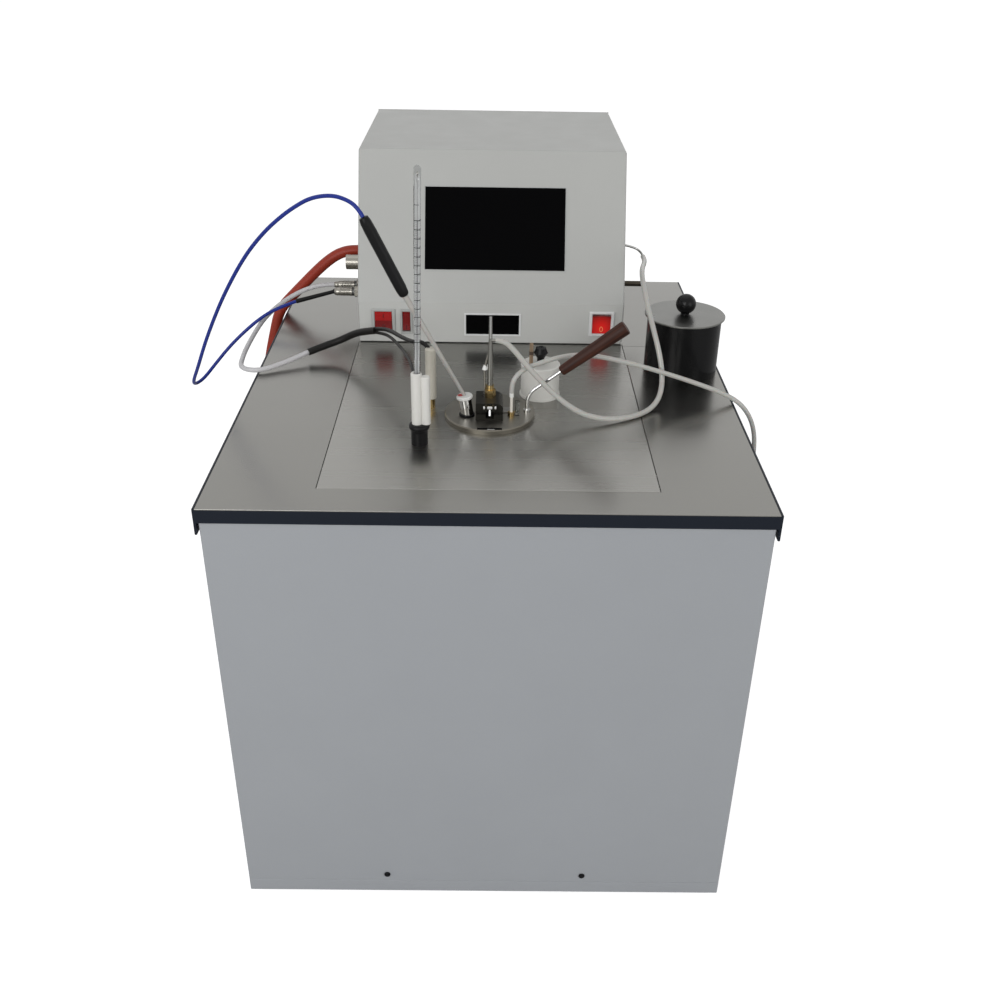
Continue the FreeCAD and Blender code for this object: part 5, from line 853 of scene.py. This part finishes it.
def add_ring_mark(name, node, body, x, z, half_wide, half_high, stroke, material):
    """Oval ring, the sign for off, on a rocker's front."""
    point, normal = surface(node, (x, 0, z), BACK)
    place = facing(point, normal)
    shape = bmesh.new()
    sides = 40
    rings = []
    inner = half_wide - stroke
    for wide, rise in ((half_wide, MARK_DEPTH), (half_wide, MARK_HEIGHT), (inner, MARK_HEIGHT),
                       (inner, MARK_DEPTH)):
        ring = []
        high = half_high - (half_wide - wide)
        for i in range(sides):
            angle = 2 * math.pi * i / sides
            spot = Vector((wide * math.cos(angle), high * math.sin(angle), rise)) * MM
            ring.append(shape.verts.new(place @ spot))
        rings.append(ring)
    joined_rings(shape, rings + [rings[0]], 0)
    shown(name, shape, [material], "red_plastic", body)


def add_bar_mark(name, node, body, x, z, half_wide, half_high, material):
    """Bar, the sign for on, on a rocker's front."""
    point, normal = surface(node, (x, 0, z), BACK)
    shape = bmesh.new()
    low = (-half_wide, -half_high, MARK_DEPTH)
    block(shape, low, (half_wide, half_high, MARK_HEIGHT), 0.05, 0, facing(point, normal))
    shown(name, shape, [material], "red_plastic", body)


MAIN_X = 142
LEFT_X = -138
SMALL_X = -108.5

add_screen_edge()
add_ring_mark("main_off_mark", "main_rocker", "main_rocker_body", MAIN_X, 551.6, 2.3, 3.7, 1.0, "orange_mark")
add_ring_mark("left_off_mark", "left_rocker", "left_rocker_body", LEFT_X, 552.1, 1.9, 2.8, 0.6, "dark_mark")
add_bar_mark("left_on_mark", "left_rocker", "left_rocker_body", LEFT_X, 566.1, 0.4, 2.6, "dark_mark")
add_bar_mark("small_on_mark", "small_rocker", "small_rocker_body", SMALL_X, 552.1, 0.4, 2.2, "dark_mark")


# Thermometer

GLASS_FOOT = Vector((-77.95, -250, 500))
GLASS_ALONG = Vector((0.024432, 0, 0.999701))
GLASS_RADIUS = 3.55
MARK_INNER = 3.5
MARK_OUTER = 3.6
SCALE_START = 145.3
SCALE_STEP = 1.77
SCALE_MARKS = 71
SCALE_FIRST = -30
SCALE_LONG = 5
SCALE_TEXT = 3.0
RING_HEIGHT = 284.2
STRIP_START = 125
STRIP_END = 235


def on_glass(angle, height, radius):
    """Point on the thermometer; angle 0 faces the front and grows to the right."""
    right = Vector((GLASS_ALONG.z, 0, -GLASS_ALONG.x))
    front = Vector((0, -1, 0))
    around = front * math.cos(angle) + right * math.sin(angle)
    return (GLASS_FOOT + GLASS_ALONG * height + around * radius) * MM


def scale_mark(shape, height, thick, start, end, inner=MARK_INNER, outer=MARK_OUTER, index=0):
    """Curved dash on the glass or strip in it, between two angles in degrees."""
    steps = 5
    rings = []
    for i in range(steps + 1):
        angle = math.radians(start + (end - start) * i / steps)
        ring = []
        for radius, rise in ((inner, -1), (outer, -1), (outer, 1), (inner, 1)):
            ring.append(shape.verts.new(on_glass(angle, height + rise * thick / 2, radius)))
        rings.append(ring)
    joined_rings(shape, rings, index)
    shape.faces.new(rings[0]).material_index = index
    shape.faces.new(rings[-1]).material_index = index


def scale_number(shape, text, height, size, angle):
    """Number bent round the glass."""
    curve = bpy.data.curves.new("number", "FONT")
    curve.body = text
    curve.size = size
    curve.align_y = "CENTER"
    curve.extrude = 0.05
    curve.resolution_u = 2
    letter = bpy.data.objects.new("number", curve)
    mesh = bpy.data.meshes.new_from_object(letter)
    for vertex in mesh.vertices:
        turned = math.radians(angle) + vertex.co.x / GLASS_RADIUS
        vertex.co = on_glass(turned, height + vertex.co.y, GLASS_RADIUS + vertex.co.z)
    shape.from_mesh(mesh)
    bpy.data.objects.remove(letter)
    bpy.data.curves.remove(curve)
    bpy.data.meshes.remove(mesh)


def add_thermometer_detail():
    """Bulb, capillary and white strip in the glass, and the scale on it."""
    shape = bmesh.new()
    column = [(0, 4), (1.6, 5), (1.9, 8), (1.9, 22), (0.9, 28), (0.34, 34), (0.34, 268), (0, 268.4)]
    turn(shape, column, GLASS_FOOT, GLASS_ALONG, sides=24)
    empty = [(0, 268.6), (0.2, 268.6), (0.2, 309), (0.6, 311), (0.6, 314), (0, 315)]
    turn(shape, empty, GLASS_FOOT, GLASS_ALONG, 1, 24)
    scale_mark(shape, 192, 240, STRIP_START, STRIP_END, 2.4, 2.9, 2)
    scale_mark(shape, 49, 38, STRIP_START, STRIP_END, 1.6, 2.0, 2)
    inside = ["capillary", "nickel", "opal"]
    shown("thermometer_column", shape, inside, "thermometer_glass", "thermometer_body")
    shape = bmesh.new()
    for i in range(SCALE_MARKS):
        height = SCALE_START + i * SCALE_STEP
        if i % SCALE_LONG == 0:
            scale_mark(shape, height, 0.7, -50, 46)
            scale_number(shape, str(SCALE_FIRST + i), height, SCALE_TEXT, 30)
        else:
            scale_mark(shape, height, 0.15, -26, -4)
    scale_mark(shape, RING_HEIGHT, 0.5, -60, 30)
    shown("thermometer_scale", shape, ["ink"], "thermometer_glass", "thermometer_body", crisp=60)


add_thermometer_detail()


# Fittings on the lid

GRIP_START = Vector((78, LID_Y, 584))
GRIP_LEAN = math.radians(52.5)
HANDLE_START = Vector((-91.2, -179, 668.3))
HANDLE_END = Vector((-131.7, -179, 751.7))


def add_grip():
    """Turned wooden grip, wider at its far end."""
    shape = bmesh.new()
    profile = [(0, 0), (4.6, 0), (5.6, 1.2), (5.9, 8), (6.6, 34), (7.4, 60), (8.0, 80), (8.0, 84.8),
               (7.2, 86), (0, 86)]
    turn(shape, eased(profile, 0.9, 4), sides=56)
    place = Matrix.Translation(GRIP_START * MM) @ Matrix.Rotation(GRIP_LEAN, 4, "Y")
    shown("wood_grip", shape, ["grip_wood"], "grip_wood", stands_for=["cup_grip"], place=place, crisp=60)


def add_lid_detail():
    """Tab in the lid's slot, ring round the probe's socket, and dark band on the stick."""
    shape = bmesh.new()
    block(shape, (-2.5, -225.4, 532.7), (5.5, -222.2, 534.8), 0.3)
    shown("slot_tab", shape, ["rod_steel"], "steel")
    shape = bmesh.new()
    ring = [(6.9, 0), (8.6, 0), (8.6, 2.2), (6.9, 2.2)]
    turn(shape, eased(ring, 0.5, 2) + [(6.9, 0)], (-25.4, -188.7, 535))
    shown("socket_ring", shape, ["black_band"], "chrome")
    shape = bmesh.new()
    block(shape, (44.5, -121.5, 579.5), (49.5, -116.5, 583.5), 0.3)
    shown("stick_band", shape, ["stick_dark"], "stick_wood", "filler_body")


def add_probe_handle():
    """Black handle with blunt rounded ends."""
    along = HANDLE_END - HANDLE_START
    length = along.length
    profile = [(0, 0), (3.6, 0), (5.4, 2), (6.2, 9), (6.3, 20), (6.3, length - 16), (5.9, length - 5),
               (4.9, length - 0.6), (3.6, length), (0, length)]
    shape = bmesh.new()
    turn(shape, eased(profile, 2.2, 4), HANDLE_START, along)
    shown("handle", shape, ["black_plastic"], "black_plastic", stands_for=["probe_handle"], crisp=60)


def add_bung_lip():
    """Rounded lip of the sensor bung."""
    shape = bmesh.new()
    lip = [(8.6, 0), (10.6, 1), (11.2, 3), (11, 5), (9.8, 6.2), (8.6, 6.2)]
    turn(shape, eased(lip, 0.8, 3) + [(8.6, 0)], (-74.3, -250, 546.8))
    shown("bung_lip", shape, ["black_plastic"], "black_plastic")


def add_box_lip():
    """Folded lower edge of the box's cover, over its feet."""
    shape = bmesh.new()
    outer = BOX_HALF_WIDTH - 0.6
    low_z = 531.2
    high_z = 534.4
    block(shape, (-outer, 39.3, low_z), (outer, 40.6, high_z), 0.2)
    for side in (-1, 1):
        low_x, high_x = sorted(((outer - 1.2) * side, outer * side))
        block(shape, (low_x, 40, low_z), (high_x, 297.5, high_z), 0.2)
    # The lip takes the lighter copy of the box paint: painted light.
    shown("box_lip", shape, ["box_paint_brightened"], "box_paint")


def add_seam():
    """Fine seam of the worktop between the box and its right edge."""
    shape = bmesh.new()
    block(shape, (170.4, 34.7, 529.9), (279.6, 35.2, 530.05), 0.03)
    shown("worktop_seam", shape, ["black_band"], "trim_black")


def add_cap_mark():
    """Red spot on the probe socket's cap."""
    shape = bmesh.new()
    disc = [(0, -0.1), (3.5, -0.1), (3.5, 0.15), (0, 0.15)]
    along = (-math.sin(PROBE_SOCKET_LEAN), 0, math.cos(PROBE_SOCKET_LEAN))
    turn(shape, disc, (-32.3, -187.4, 558.2), along)
    shown("cap_mark", shape, ["red_mark"], "chrome")


add_grip()
add_lid_detail()
add_probe_handle()
add_cap_mark()
add_seam()
add_bung_lip()
add_box_lip()


# Floor, light and world, in metres

FLOOR_HALF = 12.0
FLOOR_GLOW = 0.68
WORLD_LEVEL = 0.42


def add_floor():
    """Pale floor that glows a little for the camera alone."""
    mesh = bpy.data.meshes.new("floor")
    half = FLOOR_HALF
    mesh.from_pydata([(-half, -half, 0), (half, -half, 0), (half, half, 0), (-half, half, 0)], [],
                     [(0, 1, 2, 3)])
    floor = bpy.data.objects.new("floor", mesh)
    bpy.context.scene.collection.objects.link(floor)
    material = bpy.data.materials.new("floor")
    material.use_nodes = True
    tree = material.node_tree
    shader = tree.nodes["Principled BSDF"]
    shader.inputs["Roughness"].default_value = 0.9
    shader.inputs["Specular IOR Level"].default_value = 0.0
    grain = spread(tree, noise(tree, 2.0, 2.0), 0, 1)
    tree.links.new(blended(tree, grain, linear(236, 236, 236), linear(240, 240, 240)),
                   shader.inputs["Base Color"])
    path = tree.nodes.new("ShaderNodeLightPath")
    shader.inputs["Emission Color"].default_value = (1, 1, 1, 1)
    seen = tree.nodes.new("ShaderNodeMath")
    seen.operation = "MULTIPLY"
    seen.inputs[1].default_value = FLOOR_GLOW
    tree.links.new(path.outputs["Is Camera Ray"], seen.inputs[0])
    tree.links.new(seen.outputs[0], shader.inputs["Emission Strength"])
    mesh.materials.append(material)


def add_lamp(name, place, aim, size, power):
    data = bpy.data.lights.new(name, "AREA")
    data.shape = "DISK"
    data.size = size
    data.energy = power
    lamp = bpy.data.objects.new(name, data)
    bpy.context.scene.collection.objects.link(lamp)
    towards = Vector(aim) - Vector(place)
    turned = towards.to_track_quat("-Z", "Y").to_matrix().to_4x4()
    lamp.matrix_world = Matrix.Translation(Vector(place)) @ turned


def add_world():
    """White behind the object, in metal and in glass; a dimmer level lights it."""
    world = bpy.data.worlds.new("world")
    bpy.context.scene.world = world
    world.use_nodes = True
    tree = world.node_tree
    back = tree.nodes["Background"]
    path = tree.nodes.new("ShaderNodeLightPath")
    white = tree.nodes.new("ShaderNodeMath")
    white.operation = "MAXIMUM"
    tree.links.new(path.outputs["Is Camera Ray"], white.inputs[0])
    clear = tree.nodes.new("ShaderNodeMath")
    clear.operation = "MAXIMUM"
    tree.links.new(path.outputs["Is Glossy Ray"], clear.inputs[0])
    tree.links.new(path.outputs["Is Transmission Ray"], clear.inputs[1])
    tree.links.new(clear.outputs[0], white.inputs[1])
    level = spread(tree, white.outputs[0], WORLD_LEVEL, 1.0, 0.0, 1.0)
    back.inputs["Color"].default_value = (1, 1, 1, 1)
    tree.links.new(level, back.inputs["Strength"])


add_floor()
add_world()
add_lamp("key", (-1.2, -2.6, 1.5), (0, 0, 0.45), 1.7, 34)
add_lamp("fill", (1.9, -2.1, 1.0), (0, 0, 0.4), 1.8, 12)
add_lamp("top", (0.1, 0.5, 2.9), (0, 0, 0.5), 2.2, 6)
bpy.context.scene.view_settings.view_transform = "Standard"
